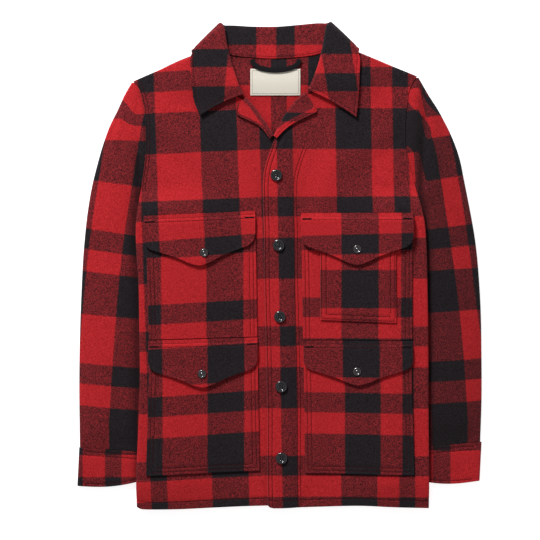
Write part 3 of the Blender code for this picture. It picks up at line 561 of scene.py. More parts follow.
EDGE_LINES = (1.0, 2.6, 4.2, 6.2, 7.4, 8.6, 9.8, 12.0)
grid_left = front(SIDE_LEFT, EDGE_LEFT, HEM_LEFT, spread(235.0, 4.0, SEAM_LINES, (1.4, 2.8)), True)
grid_right = front(SIDE_RIGHT, EDGE_RIGHT, HEM_RIGHT, spread(240.0, 4.0, EDGE_LINES, SEAM_LINES), False)
front_left = cloth(
    "front_left_panel",
    grid_left,
    count(grid_left[..., 0], grid_left[..., 1], (-155.1, 0.985, -0.0335), (149.9, 0.992, 0.045)),
    WALL,
    "front_left",
)
front_right = cloth(
    "front_right_panel",
    grid_right,
    count(grid_right[..., 0], grid_right[..., 1], (58.8, 1.015, -0.0165), (149.1, 0.992, 0.0)),
    WALL,
    "front_right",
)

# The sleeves
# Each is one piece of the wool sewn to a tube, with its top set flat into the armhole. The body lies on its
# inner half, and the upper wall sinks into soft folds where it leaves the shoulder.
SLEEVE_CROWN = 5.0  # how far the upper wall stands up in the middle of what shows
SEAM_SUNK = 2.0  # how far it sinks at the armhole's seam
LOWEST_FOLD = -2.2  # a fold goes no deeper, so that the walls don't cross
# Columns: y, x of the edge that shows
OUTER_LEFT = (
    ((-290, -320.0), (-182, -321.0), (-54, -318.0), (42, -312.4), (90, -307.0), (128, -300.4), (160, -292.6))
    + ((198, -281.6), (224, -272.0), (249, -259.6), (275, -247.6), (294.0, -236.6))
)
OUTER_RIGHT = (
    ((-281, 321.8), (-214, 324.0), (-150, 324.0), (-45, 321.4), (42, 313.6), (109, 301.6), (138, 295.8))
    + ((174, 288.2), (209, 275.4), (231, 264.6), (251, 253.6), (271, 240.8), (302.0, 222.8))
)
# Columns: y, x of the edge that lies under the body
INNER_LEFT = (
    ((-298, -206.0), (-180, -192.0), (-60, -191.0), (-10, -206.0), (15, -222.0), (35, -231.0), (60, -233.4))
    + ((90, -231.2), (100, -229.8), (112, -228.0), (122, -226.8), (131, -224.9))
)
INNER_RIGHT = (
    ((-291, 209.0), (-180, 200.0), (-60, 200.0), (-10, 212.0), (15, 226.0), (35, 236.4), (60, 237.4))
    + ((90, 232.8), (100, 230.4), (112, 227.2), (124, 223.6), (134, 220.2))
)
# Troughs down the arms beside the armholes, and what crumples near them. Columns as for the creases
CREASES_LEFT = (
    (-258.0, 246.0, -272.0, 198.0, 4.5, -1.3),
    (-250.0, 244.0, -262.0, 192.0, 5.5, 1.2),
    (-226.0, 262.0, -224.0, 190.0, 6.0, -1.4),
    (-226.0, 186.0, -229.0, 110.0, 5.5, -2.8),
    (-240.0, 215.0, -246.0, 150.0, 7.0, 0.8),
    (-262.0, 150.0, -272.0, 70.0, 16.0, 0.9),
    (-290.0, 60.0, -300.0, -40.0, 14.0, -0.6),
    (-268.0, 20.0, -262.0, -120.0, 18.0, 0.7),
    (-244.0, -244.0, -236.0, -272.0, 4.0, -0.9),
    (-231.0, 104.0, -231.0, -20.0, 8.0, -2.8),
    (-230.0, -20.0, -230.0, -282.0, 8.0, -2.5),
    (-296.0, -180.0, -286.0, -270.0, 15.0, 0.7),
    (-250.0, -150.0, -256.0, -240.0, 13.0, -0.6),
)
CREASES_RIGHT = (
    (217.0, 272.0, 214.0, 196.0, 6.0, 2.4),
    (213.0, 190.0, 217.0, 146.0, 4.5, 1.6),
    (229.0, 270.0, 232.0, 236.0, 5.5, -2.6),
    (232.0, 232.0, 227.0, 198.0, 5.5, -2.6),
    (227.0, 192.0, 226.0, 112.0, 5.5, -3.0),
    (245.0, 240.0, 246.0, 120.0, 10.0, 2.6),
    (233.0, 98.0, 240.0, -20.0, 8.0, -2.8),
    (241.0, -20.0, 242.0, -270.0, 8.0, -2.5),
    (272.0, 200.0, 286.0, 120.0, 8.0, -0.8),
    (270.0, 90.0, 280.0, -30.0, 16.0, 0.9),
    (300.0, 40.0, 306.0, -90.0, 10.0, -0.6),
    (262.0, -60.0, 268.0, -180.0, 14.0, -0.7),
    (292.0, -150.0, 298.0, -260.0, 15.0, 0.8),
    (256.0, -216.0, 246.0, -268.0, 9.0, 0.6),
)
# Painted shade where the sleeves turn down beside the body: how dark they are painted there. Columns as for the
# creases
PAINTED_SHADE_LEFT = (
    (-227.0, 174.0, -228.0, 106.0, 5.0, 0.75),
    (-231.0, 92.0, -231.0, 20.0, 8.0, 0.6),
    (-228.0, 4.0, -226.0, -350.0, 8.0, 0.6),
)
PAINTED_SHADE_RIGHT = (
    (229.0, 262.0, 232.0, 236.0, 5.0, 0.3),
    (232.0, 226.0, 228.0, 204.0, 5.0, 0.4),
    (227.0, 192.0, 225.0, 112.0, 5.0, 0.65),
    (229.0, 100.0, 236.0, 30.0, 8.0, 0.65),
    (237.0, 14.0, 239.0, -350.0, 8.0, 0.65),
)


def distance_to(xy, line):
    """Shortest distance of each grid point from a line through points."""
    step = np.diff(line, axis=0)
    away = xy[..., None, :] - line[:-1]
    share = np.clip((away * step).sum(-1) / (step**2).sum(-1), 0, 1)
    return np.linalg.norm(away - share[..., None] * step, axis=-1).min(-1)


def ring_painted_shade(xy, table):
    """The painted shade of a flattened tube's rings: the table's on the upper wall, 0 on the lower one."""
    upper = np.clip(creases(xy[..., 0], xy[..., 1], table), 0, 0.8)
    return np.concatenate([upper, 0 * upper[:, -2::-1]], axis=1)


def flattened(xy, folds, height, bump=0.0):
    """Rings of a flattened tube over a grid: along the upper wall from one edge, and back along the lower one.

    Each wall stands off the mid plane by the root of (r squared less (r - d) squared), where r is the fold's
    radius and d the distance from the nearest fold, up to r."""
    inward = np.min([distance_to(xy, fold) for fold in folds], axis=0)
    half = MIDDLE * np.sqrt(1 - np.clip(1 - inward / MIDDLE, 0, 1) ** 2)
    upper, lower = raised(xy, height + half + bump), raised(xy, height - half)
    return np.concatenate([upper, lower[:, -2::-1]], axis=1)


# Distances of the rings' points from a fold: even steps round its half circle
FOLD_LINES = MIDDLE * (1 - np.sin(np.radians((90, 66, 46, 28, 12))))


def sleeve(place, outer, inner, armhole, folds, dark, side, counted, material):
    """A sleeve from its cuff to the shoulder: a tube up to the underarm, open along the armhole above it.

    Its rings are level. At a share s of the width that shows, the upper wall rises by the crown times
    (1 - |2 s - 1| to the power 2.5). At d mm from the armhole's seam it sinks by 2 exp(-(d / 3) squared) mm."""
    hidden_low, underarm, low, high = inner[0][0], inner[-1][0], outer[0][0], outer[-1][0]
    shares = spread(underarm - low, 4.5)
    armhole_y = np.append(np.arange(underarm + 4, high - 2.5, 3.6), high - 1.0)
    y = np.concatenate([low + (underarm - low) * shares, armhole_y])
    outline = np.stack([through(outer, y)[:, 0] - side * WALL / 2, y], axis=1)
    # The edge under the body comes out to the armhole's seam at the underarm
    hidden_y = hidden_low + (underarm - hidden_low) * shares
    hidden = np.stack([through(inner, hidden_y)[:, 0], hidden_y], axis=1)
    beside_body = through(armhole, hidden_y)[:, 0] + side * (
        WALL + 0.3 - 11.1 * (1 - ramp(hidden_y, 76, 118)) - 1.7 * ramp(hidden_y, 108, 128)
    )
    hidden[:, 0] += (beside_body - hidden[:, 0]) * ramp(hidden_y, -10, 30)
    gap = 0.15 + 0.4 * (1 - ramp(armhole_y, underarm, underarm + 40))
    seam_line = np.stack([through(armhole, armhole_y)[:, 0] + side * gap, armhole_y], axis=1)
    inside = np.concatenate([hidden, seam_line])
    # Points across, closer round both folds
    widths = np.maximum(np.linalg.norm(inside - outline, axis=1), 4.6)
    roll = FOLD_LINES / widths[:, None]
    between = roll[:, -1:] + (1 - 2 * roll[:, -1:]) * np.linspace(0, 1, 26)[1:-1]
    u = np.concatenate([roll, between, 1 - roll[:, ::-1]], axis=1)[:, ::-1]
    xy = outline[:, None] + (inside - outline)[:, None] * u[..., None]
    # The upper wall's crown, folds and seam
    body_edge = through(armhole, np.clip(y, armhole[0][0], armhole[-1][0]))[:, 0]
    shown = np.abs(body_edge - outline[:, 0])
    share = np.clip(side * (outline[:, None, 0] - xy[..., 0]) / shown[:, None], 0, 1)
    crown = SLEEVE_CROWN * (1 - np.abs(2 * share - 1) ** 2.5) * np.minimum(1, shown / 90)[:, None]
    crown = crown * ramp(y, low, low + 40)[:, None]
    from_seam = distance_to(xy, seam_line)
    sunk = SEAM_SUNK * np.exp(-((from_seam / 3.0) ** 2)) * ramp(y, underarm, underarm + 14)[:, None]
    clear = np.sin(np.pi * u) ** 0.5 * ramp(y, low, low + 12)[:, None]
    bump = np.maximum(creases(xy[..., 0], xy[..., 1], folds) * clear + crown - sunk, LOWEST_FOLD)
    rings = flattened(xy, (outline, hidden), HALF, bump)
    # Round the outer fold the check goes on as if the lower wall were unfolded
    upper = counted(xy[..., 0], xy[..., 1])
    lower = counted(2 * outline[:, None, 0] - xy[..., 0], xy[..., 1])
    counts = np.concatenate([upper, lower[:, -2::-1]], axis=1)
    return cloth(
        f"sleeve_{place}_tube",
        rings,
        counts,
        WALL,
        f"sleeve_{place}",
        tube=True,
        material=material,
        # painted shade of the upper wall beside the body, from the `dark` table
        painted_shade=ring_painted_shade(xy, dark),
    )


def left_sleeve_counts(x, y):
    """The left sleeve's check: it follows the arm, and its bands droop towards the armhole."""
    red_middle = (
        ((-246.4, -299.2), (-102.4, -289.6), (-14.4, -282.1), (49.6, -275.0), (133.6, -262.4))
        + ((196.8, -252.5), (300.0, -234.0))
    )
    middle = through(red_middle, y.ravel())[:, 0].reshape(y.shape)
    slope = -0.02 - 0.13 * (1 - ramp(y, 120, 200)) + 0.06 * (1 - ramp(y, -60, 30))
    droop = 25 * ramp(x, -256, -228) * ramp(y, 205, 245)
    return np.stack([(x - middle) * 1.3, (308.1 - droop + slope * (x + 274) - y) * 0.961], axis=-1)


def right_sleeve_counts(x, y):
    """The right sleeve's check. Between the armhole and the trough beside it the bands lie higher."""
    black_end = (
        ((-246.4, 300.8), (-102.4, 290.4), (-5.9, 279.0), (62.7, 269.3), (139.2, 257.1), (200.0, 244.8))
        + ((236.0, 232.0), (252.0, 214.0), (270.0, 203.0), (300.0, 196.0))
    )
    border = through(black_end, y.ravel())[:, 0].reshape(y.shape)
    slope = 0.07 + 0.1 * ramp(y, 0, 120)
    higher = 50 * (1 - ramp(x, 221, 237)) * ramp(y, 70, 115)
    stretch = 1.03 + 0.2 * ramp(y, -200, -50)
    redder = 24 * (1 - ramp(x, 207, 226)) * (1 - ramp(y, 178, 198))
    warp = WARP_STRIPES[1] + (x - border) * stretch - redder
    return np.stack([warp, (312.9 + higher + slope * (x - 256.8) - y) * 0.965], axis=-1)


left_tables = (OUTER_LEFT, INNER_LEFT, SIDE_LEFT, CREASES_LEFT, PAINTED_SHADE_LEFT)
sleeve_left = sleeve("left", *left_tables, -1, left_sleeve_counts, mackinaw_wool)
right_tables = (OUTER_RIGHT, INNER_RIGHT, SIDE_RIGHT, CREASES_RIGHT, PAINTED_SHADE_RIGHT)
# The right sleeve is in the wool with painted shade
sleeve_right = sleeve("right", *right_tables, 1, right_sleeve_counts, painted_shade_wool)

# The cuffs
# Bands of doubled wool sewn to the sleeves' ends, topstitched along the seam and the lower edge. They are a
# little thicker than the arm.
CUFF_WALL = 3.2
CUFF_WIDTH, CUFF_DEPTH = 118.0, 50.0
# Corners x, y, clockwise from the top left
CUFF_LEFT = ((-321.0, -290.6), (-205.0, -299.0), (-205.0, -339.0), (-324.0, -352.0))
CUFF_RIGHT = ((208.0, -291.6), (324.0, -281.6), (320.8, -343.6), (208.0, -340.0))
CUFF_BOW = 6.6  # how far the lower edge bows down
# Rows of stitches, by their distance from the seam and from the lower edge, and the mesh's lines near them
CUFF_TOP_ROWS, CUFF_BOTTOM_ROW = (5.0, 11.0), 5.0
CUFF_TOP_LINES = (1.2, 3.0, 4.0, 5.0, 6.0, 7.5, 9.0, 10.0, 11.0, 12.0)
CUFF_BOTTOM_LINES = (1.2, 2.6, 3.8, 5.0, 6.2)


def quad_patch(corners, u, v):
    """A grid in a four-cornered piece: its sides' points joined straight across, corners clockwise from the top
    left."""
    top_left, top_right, bottom_right, bottom_left = (np.array(c, float) for c in corners)
    u, v = u[None, :, None], v[:, None, None]
    return (1 - v) * ((1 - u) * bottom_left + u * bottom_right) + v * ((1 - u) * top_left + u * top_right)


def cuff(place, corners, side, dark, warp, weft):
    """A cuff, with the grooves of its topstitching. Its lower edge bows down by a half wave of a sine."""
    roll = FOLD_LINES / CUFF_WIDTH
    u = np.concatenate([roll, np.linspace(roll[-1], 1 - roll[-1], 30)[1:-1], 1 - roll[::-1]])
    v = spread(CUFF_DEPTH, 2.4, CUFF_BOTTOM_LINES, CUFF_TOP_LINES)
    xy = quad_patch(corners, u, v)
    xy[..., 0] -= side * CUFF_WALL / 2 * (u if side > 0 else 1 - u)
    xy[..., 1] -= CUFF_BOW * np.sin(np.pi * u) * (1 - v[:, None])
    from_top, from_bottom = distance_from(xy, xy[-1:]), distance_from(xy, xy[:1])
    stitched = sum(groove(from_top, at) for at in CUFF_TOP_ROWS) + groove(from_bottom, CUFF_BOTTOM_ROW)
    bump = stitched + 0.5 * np.exp(-(((from_top - 22) / 12) ** 2))
    rings = flattened(xy, (xy[:, 0], xy[:, -1]), HALF + (CUFF_WALL - WALL) / 2, bump * np.sin(np.pi * u) ** 0.3)
    counts = count(xy[..., 0], xy[..., 1], warp, weft)
    counts = np.concatenate([counts, counts[:, -2::-1]], axis=1)
    # Painted shade beside the body, from the `dark` table
    painted_shade = ring_painted_shade(xy, dark)
    band = cloth(
        f"cuff_{place}_band", rings, counts, CUFF_WALL, f"cuff_{place}", tube=True, painted_shade=painted_shade
    )
    return band, rings[:, : len(u)]


cuff_left, cuff_left_top = cuff(
    "left", CUFF_LEFT, -1, PAINTED_SHADE_LEFT, (-409.4, 0.983, 0.0), (-229.7, 0.952, 0.0)
)
cuff_right, cuff_right_top = cuff(
    "right", CUFF_RIGHT, 1, PAINTED_SHADE_RIGHT, (107.8, 0.929, 0.0), (-335.8, 0.931, 0.0)
)

# The collar
# A turned collar in two layers of the wool, sewn into the neck seam and topstitched round its edge. Its fall
# lies on the fronts at each side and turns under to lie flat below the back. Its stand shows inside the neck.
COLLAR_WALL = 3.0
COLLAR_ROLL = 2.6  # radius of the fold between stand and fall, to the middle of the wall
COLLAR_HOLLOW = 3.0  # how far the front edges curve up
COLLAR_CROWN = 0.5
COLLAR_ROW = 4.8  # the row of stitches, from the edge
FALL_FOOT = 262.0  # below this y the fall keeps the height that it has there
# Columns: turn in degrees, neck seam x, y, roll line x, y, free edge x, y. The turn is 0 where the fall lies
# over the fronts and 180 where it lies under the back.
COLLAR = (
    (0, -65.8, 271.2, -61.0, 273.5, -126.5, 241.0),
    (0, -71.6, 281.0, -66.0, 282.0, -136.0, 262.0),
    (0, -78.4, 300.0, -72.0, 299.0, -139.5, 288.0),
    (0, -89.4, 323.0, -79.6, 323.0, -142.0, 312.0),
    (0, -95.4, 340.0, -87.0, 352.0, -142.2, 329.0),
    (0, -97.6, 348.5, -90.6, 376.6, -139.6, 338.0),
    (45, -97.6, 349.4, -91.0, 379.6, -135.5, 338.8),
    (90, -97.6, 350.4, -91.0, 381.4, -133.0, 338.5),
    (135, -96.6, 349.4, -90.6, 381.8, -132.0, 338.0),
    (180, -94.6, 348.0, -88.0, 382.2, -129.0, 333.0),
    (180, -79.5, 338.6, -72.0, 381.8, -106.0, 312.0),
    (180, -49.5, 334.2, -45.0, 380.0, -60.0, 301.0),
    (180, -7.0, 332.2, -4.0, 379.8, -5.0, 298.0),
    (180, 37.5, 335.2, 35.0, 383.0, 46.0, 301.5),
    (180, 65.0, 340.6, 60.0, 385.4, 92.0, 312.0),
    (180, 79.6, 352.0, 74.6, 385.4, 115.0, 333.0),
    (135, 81.6, 353.6, 77.4, 383.8, 119.0, 340.6),
    (90, 82.6, 354.4, 78.0, 382.8, 120.6, 341.0),
    (45, 82.6, 353.6, 77.6, 381.4, 122.6, 341.0),
    (0, 82.6, 352.6, 77.0, 379.0, 125.6, 338.6),
    (0, 80.6, 344.0, 73.0, 353.0, 128.2, 329.0),
    (0, 75.4, 325.0, 66.6, 325.0, 127.6, 310.0),
    (0, 66.4, 302.0, 58.6, 302.0, 126.6, 284.0),
    (0, 57.8, 285.2, 52.4, 287.0, 125.0, 258.0),
    (0, 52.2, 278.2, 47.6, 280.6, 122.5, 238.0),
)


def by_number(table, at):
    """A smooth curve through the table's rows, whose parameter is the row's number."""
    return through([(i, *row) for i, row in enumerate(table)], at)


# The parameter along the collar is the number of the row. Its steps are finer at the two front edges, and where
# the collar turns under at the shoulders.
at_fronts = (0.04, 0.08, 0.12, 23.88, 23.92, 23.96)
at_shoulders = np.concatenate([np.arange(5, 9.01, 0.125), np.arange(15, 19.01, 0.125)])
stations = np.unique(np.concatenate([np.arange(0, 24.01, 0.2), at_fronts, at_shoulders]).round(4))
collar_lines = by_number([row[1:] for row in COLLAR], stations).reshape(-1, 3, 2)
neck_line, roll_line, free_line = collar_lines.swapaxes(0, 1)
turn = np.radians(np.interp(stations, np.arange(len(COLLAR)), [row[0] for row in COLLAR]))
# The fall's side of the mid plane: up over the fronts, then outwards at the shoulders, then down under the back
outward = np.where(stations < 12, -1.0, 1.0)
out = np.stack([outward * 0.7 * np.sin(turn), 0.714 * np.sin(turn), np.cos(turn)], axis=1)
towards = roll_line - free_line
towards = np.pad(towards / np.linalg.norm(towards, axis=1)[:, None], ((0, 0), (0, 1)))


def off_mid_plane(xy, offset):
    """Points of a line round the collar, moved off the mid plane by `offset` towards the fall's side."""
    over_front = mid_plane(xy[:, 0], np.maximum(xy[:, 1], FALL_FOOT))
    z = np.where(turn > 0, COLLAR_LIFT + HALF, over_front)
    return np.concatenate([xy, z[:, None]], axis=1) + out * np.reshape(offset, (-1, 1))


# The stand, the fold along a half circle, and the fall with its crown and the groove of its stitches
up_the_stand = np.linspace(0, 1, 9)[:-1]
round_the_fold = np.radians(np.linspace(0, 180, 9))
down_the_fall = (*np.linspace(0.06, 0.86, 15), 0.89, 0.915, 0.94, 0.96, 0.98, 1.0)
lines = [off_mid_plane(neck_line + (roll_line - neck_line) * s, COLLAR_ROLL) for s in up_the_stand]
for angle in round_the_fold:
    offset = COLLAR_ROLL * (2 - math.cos(angle))
    lines.append(off_mid_plane(roll_line, offset) + towards * COLLAR_ROLL * math.sin(angle))
hollow = COLLAR_HOLLOW * (1 - ramp(stations, 0.0, 1.4) + ramp(stations, 22.6, 24.0))
fall_length = np.linalg.norm(free_line - roll_line, axis=1)
for s in down_the_fall:
    xy = roll_line + (free_line - roll_line) * s
    xy[:, 1] += hollow * math.sin(math.pi * s)
    at_front = np.minimum(distance_from(xy[None], xy[:1]), distance_from(xy[None], xy[-1:]))[0]
    stitched = groove(np.minimum((1 - s) * fall_length, at_front), COLLAR_ROW)
    lines.append(off_mid_plane(xy, 3 * COLLAR_ROLL + stitched + COLLAR_CROWN * math.sin(math.pi * s)))
collar_grid = np.stack(lines, axis=0)
# The check runs up the collar at both fronts, and along it behind the neck
x, y, place = collar_grid[..., 0], collar_grid[..., 1], stations[None]
left_share, right_share = 1 - ramp(place, 5, 9), ramp(place, 15, 19)
behind = 1 - left_share - right_share
left_lean = -81.6 - 0.093 * (341.6 - y)
right_lean = 66.0 + 0.17 * (341 - y)
warp = left_share * (93 + (x - left_lean) * 1.036) + right_share * (35 + (x - right_lean) * 1.19)
warp = warp + behind * (93 - (y - 354) * 1.036)
weft = left_share * (102.7 - (y - 286.4) * 1.1) + right_share * (102.7 + (y - 337.6) * 1.1 - 411)
weft = weft + behind * (102.7 - (x + 37) * 1.06 - 205.5)
collar = cloth(
    "turned_collar",
    collar_grid,
    np.stack([warp, weft], axis=-1),
    COLLAR_WALL,
    "collar",
    turned=0.9,
)

# The lapels
# The tops of the two facings, in the same wool, turned out over the fronts along the roll line and stitched
# along the edge.
LAPEL_WALL = 3.6
LAPEL_REST = 1.1  # air between a lapel and its front
LAPEL_ROW = 3.6  # the row of stitches, from the edge
TURN_ANGLES = (125, 110, 95, 80, 65, 50, 35, 20, 10, 0)  # degrees round the fold, from the front's own edge
# Columns: roll line x, y, outer edge x, y, from the foot of the V upwards
LAPEL_LEFT = (
    ((-12.0, 207.0, -15.4, 203.4), (-23.0, 223.5, -31.0, 222.6), (-34.0, 239.5, -49.5, 233.0))
    + ((-45.6, 255.0, -68.8, 243.4), (-57.0, 266.8, -66.8, 258.6))
)
LAPEL_RIGHT = (
    ((-6.6, 206.0, -4.6, 204.0), (1.4, 221.0, 8.6, 217.6), (10.6, 238.0, 24.0, 228.8))
    + ((21.6, 254.0, 41.6, 237.6), (33.0, 267.0, 57.6, 245.4), (42.6, 275.4, 59.4, 250.4))
)


def lapel(place, table):
    """A lapel: part of a circle round the roll line, from inside the neck, then flat over the front."""
    is_left = place == "left"
    rows = by_number(table, np.linspace(0, len(table) - 1, 30))
    roll, edge = rows[:, :2], rows[:, 2:]
    width = np.linalg.norm(edge - roll, axis=1)
    away = (edge - roll) / width[:, None]
    angles = np.radians(TURN_ANGLES)
    radius = (WALL / 2 + LAPEL_REST + LAPEL_WALL / 2) / 2
    turned_over = roll[:, None] - away[:, None] * radius * np.sin(angles)[None, :, None]
    across = np.linspace(0.08, 1.0, 14)
    flat = roll[:, None] + (edge - roll)[:, None] * across[None, :, None]
    xy = np.concatenate([turned_over, flat], axis=1)
    x, y = xy[..., 0], xy[..., 1]
    around = np.concatenate([radius * (1 + np.cos(angles)), np.full(len(across), 2 * radius)])
    to_edge = distance_from(xy, edge[:, None])
    z = front_height(x, y) + around + groove(to_edge, LAPEL_ROW, 0.4) + (0.0 if is_left else placket_rise(x, y))
    if is_left:
        counts = np.stack([90.0 + width[:, None] - to_edge, 41.0 - to_edge], axis=-1)
    else:
        counts = np.stack([26.5 + to_edge, np.minimum(37.7 + (244.8 - y) * 2.19, 95.0)], axis=-1)
    grid = raised(xy, z)
    if is_left:
        grid, counts = grid[:, ::-1], counts[:, ::-1]
    piece = cloth(
        f"lapel_{place}_facing", grid, counts, LAPEL_WALL, f"lapel_{place}", turned=1.1
    )
    return piece, grid


lapel_left, lapel_left_grid = lapel("left", LAPEL_LEFT)
lapel_right, lapel_right_grid = lapel("right", LAPEL_RIGHT)

# The pockets
# Five patches of the same wool with turned edges, sewn down by two rows round the sides and the bottom. The
# lower flaps' seams hold the upper pockets' bottoms. Their check is matched to the fronts, a little off.
REST = 0.45  # between a panel and a piece that lies on it
LAYER = WALL + REST
# The two rows of stitches, by their distance from a patch's edges
PATCH_ROWS = {place: (5.0, 11.0) for place in ("upper_left", "upper_right", "lower_left", "lower_right")}
PATCH_ROWS["small"] = (2.0, 9.0)
# Columns: place, corners x, y from the top left clockwise, layer above the front, warp count, weft count
POCKETS = (
    ("upper_left", (-213.0, 64.0), (-38.0, 72.0), (-35.2, -113.0), (-207.6, -117.6), 1)
    + ((-152.6, 0.98, 0.0), (-12.9, 1.0, 0.058)),
    ("upper_right", (35.0, 68.0), (211.4, 68.0), (211.4, -118.0), (37.6, -118.0), 1)
    + ((63.4, 0.987, 0.0), (-12.4, 1.0, 0.0)),
    ("lower_left", (-206.8, -136.0), (-35.0, -131.0), (-31.6, -327.0), (-212.6, -334.0), 1)
    + ((-150.5, 0.987, 0.0), (-158.0, 0.988, 0.063)),
    ("lower_right", (38.4, -138.0), (209.4, -138.0), (214.6, -333.0), (41.2, -331.0), 1)
    + ((70.5, 1.026, 0.0), (-162.7, 0.985, -0.01)),
    ("small", (65.0, 46.0), (185.0, 46.0), (185.8, -90.4), (65.8, -86.0), 2)
    + ((63.4, 0.987, 0.0), (90.1, 1.066, 0.0)),
)
# Slack in the patches: drag lines from the upper corners and hollows beside them. Columns as for the creases
POCKET_CREASES = (
    (-196.0, 30.0, -150.0, -60.0, 14.0, -0.5),
    (-90.0, 20.0, -60.0, -70.0, 16.0, 0.5),
    (60.0, 20.0, 56.0, -80.0, 9.0, -0.4),
    (150.0, -60.0, 196.0, -104.0, 12.0, 0.5),
    (-180.0, -180.0, -160.0, -290.0, 17.0, 0.6),
    (-70.0, -190.0, -84.0, -300.0, 15.0, -0.5),
    (80.0, -190.0, 66.0, -300.0, 15.0, -0.5),
    (180.0, -180.0, 172.0, -300.0, 18.0, 0.6),
)
pocket_tops = {}
for place, top_left, top_right, bottom_right, bottom_left, layers, warp, weft in POCKETS:
    width, depth = top_right[0] - top_left[0], top_left[1] - bottom_left[1]
    near, far = PATCH_ROWS[place]
    lines = (near / 5, near / 2, near - 1.2, near, near + 1.2, (near + far) / 2, far - 1.2, far, far + 1.2)
    u, v = spread(width, 4.0, lines, lines), spread(depth, 4.0, lines, (1.2, 2.4))
    xy = quad_patch((top_left, top_right, bottom_right, bottom_left), u, v)
    x, y = xy[..., 0], xy[..., 1]
    inside = np.minimum(distance_from(xy, xy[:, :1]), distance_from(xy, xy[:, -1:]))
    if not place.startswith("upper"):
        inside = np.minimum(inside, distance_from(xy, xy[:1]))
    below_flap = 1 - ramp(y, top_left[1] - 40, top_left[1])
    slack = creases(x, y, POCKET_CREASES) * ramp(inside, 12.0, 26.0) * below_flap
    z = front_height(x, y) + layers * LAYER + groove(inside, near) + groove(inside, far) + slack
    pocket_tops[place] = raised(xy, z)
    patch = cloth(
        f"pocket_{place}_patch",
        pocket_tops[place],
        count(x, y, warp, weft),
        WALL,
        f"pocket_{place}",
    )

# The flaps
# Pointed flaps in two layers of the wool, sewn along their tops above the pockets by two rows, and snapped
# shut.
FLAP_ROWS = (5.6, 11.2)  # below the top
FLAP_STEP = 13.0  # over this length below its seam the flap climbs onto the pocket
FLAP_KICK = 2.0  # how far the free edge stands up
FLAP_LINES = (0.7, 1.4, 2.2, 4.0)  # the mesh's lines beside a flap's sides
# Columns: place, top left x, y, top right x, y, depth at the point, layer above the front, warp and weft counts
FLAPS = (
    ("upper_left", -216.0, 79.6, -38.6, 88.2, 83.0, 2, (-153.0, 0.98, -0.05), (89.8, 1.08, 0.08)),
    ("upper_right", 34.4, 84.8, 212.6, 84.8, 83.0, 3, (62.8, 0.98, 0.0), (85.0, 1.0, 0.025)),
    ("lower_left", -208.8, -118.6, -35.2, -114.0, 77.0, 2, (-150.5, 0.985, 0.0), (-25.2, 1.08, 0.06)),
    ("lower_right", 38.4, -119.0, 211.6, -119.0, 71.0, 2, (65.6, 0.99, 0.0), (-9.7, 1.0, 0.0)),
)
# The lower edge. Columns: share across, share of the depth
FLAP_EDGE = (
    ((0.0, 0.44), (0.012, 0.54), (0.05, 0.635), (0.11, 0.69), (0.2, 0.755), (0.31, 0.845), (0.42, 0.955))
    + ((0.5, 1.0), (0.58, 0.955), (0.69, 0.845), (0.8, 0.755), (0.89, 0.69), (0.95, 0.635), (0.988, 0.54))
    + ((1.0, 0.44),)
)
flap_tops = {}
for place, left_x, left_y, right_x, right_y, depth, layers, warp, weft in FLAPS:
    corner_shares = (FLAP_EDGE[1][0], FLAP_EDGE[-2][0])
    u = np.unique(np.concatenate([spread(175.0, 3.4, FLAP_LINES, FLAP_LINES), corner_shares]))
    share = through(FLAP_EDGE, u)[:, 0]
    seam = np.array((left_x, left_y)) + np.array((right_x - left_x, right_y - left_y)) * u[:, None]
    v = spread(66.0, 1.7, (0.6, 1.2), (0.6, 1.2))[::-1]
    below = v[:, None] * share[None] * depth
    xy = np.repeat(seam[None], len(v), axis=0)
    xy[..., 1] -= below
    x, y = xy[..., 0], xy[..., 1]
    climb = ramp(below, 1.0, FLAP_STEP)
    kick = FLAP_KICK * ramp(below / depth, 0.45, 1.0)
    z = front_height(x, y) + LAYER * (1 + (layers - 1) * climb) + kick
    flap_tops[place] = raised(xy, sum((groove(below, at) for at in FLAP_ROWS), z))
    flap = cloth(
        f"flap_{place}_pointed",
        flap_tops[place],
        count(x, y, warp, weft),
        WALL,
        f"flap_{place}",
        turned=1.35,
    )

# The stitching
# Spun polyester thread: oxblood topstitching sunk in its own grooves, 8 stitches to 27 mm, and black bars
# that hold the flaps' corners. The stitches are longer and thicker than real ones, so that they show.
SIDES = 6  # of a stitch's tube


def on_surface(grid, xy):
    """Height of a surface at each (x, y): the mean of its grid's four nearest points, weighed by one over the
    squared distance. It goes through the places 400 at a time, to save memory."""
    points = grid.reshape(-1, 3)
    heights = np.empty(len(xy))
    for start in range(0, len(xy), 400):
        part = slice(start, start + 400)
        square = ((xy[part, None] - points[None, :, :2]) ** 2).sum(-1)
        nearest = np.argpartition(square, 4, axis=1)[:, :4]
        weight = 1 / (np.take_along_axis(square, nearest, axis=1) + 0.02)
        heights[part] = (weight * points[nearest, 2]).sum(1) / weight.sum(1)
    return heights


def passed(run, line, at):
    """The points (x, y) that a line passes at the distances `at`; `run` holds those of its own points."""
    return np.stack([np.interp(at, run, line[:, 0]), np.interp(at, run, line[:, 1])], axis=-1)


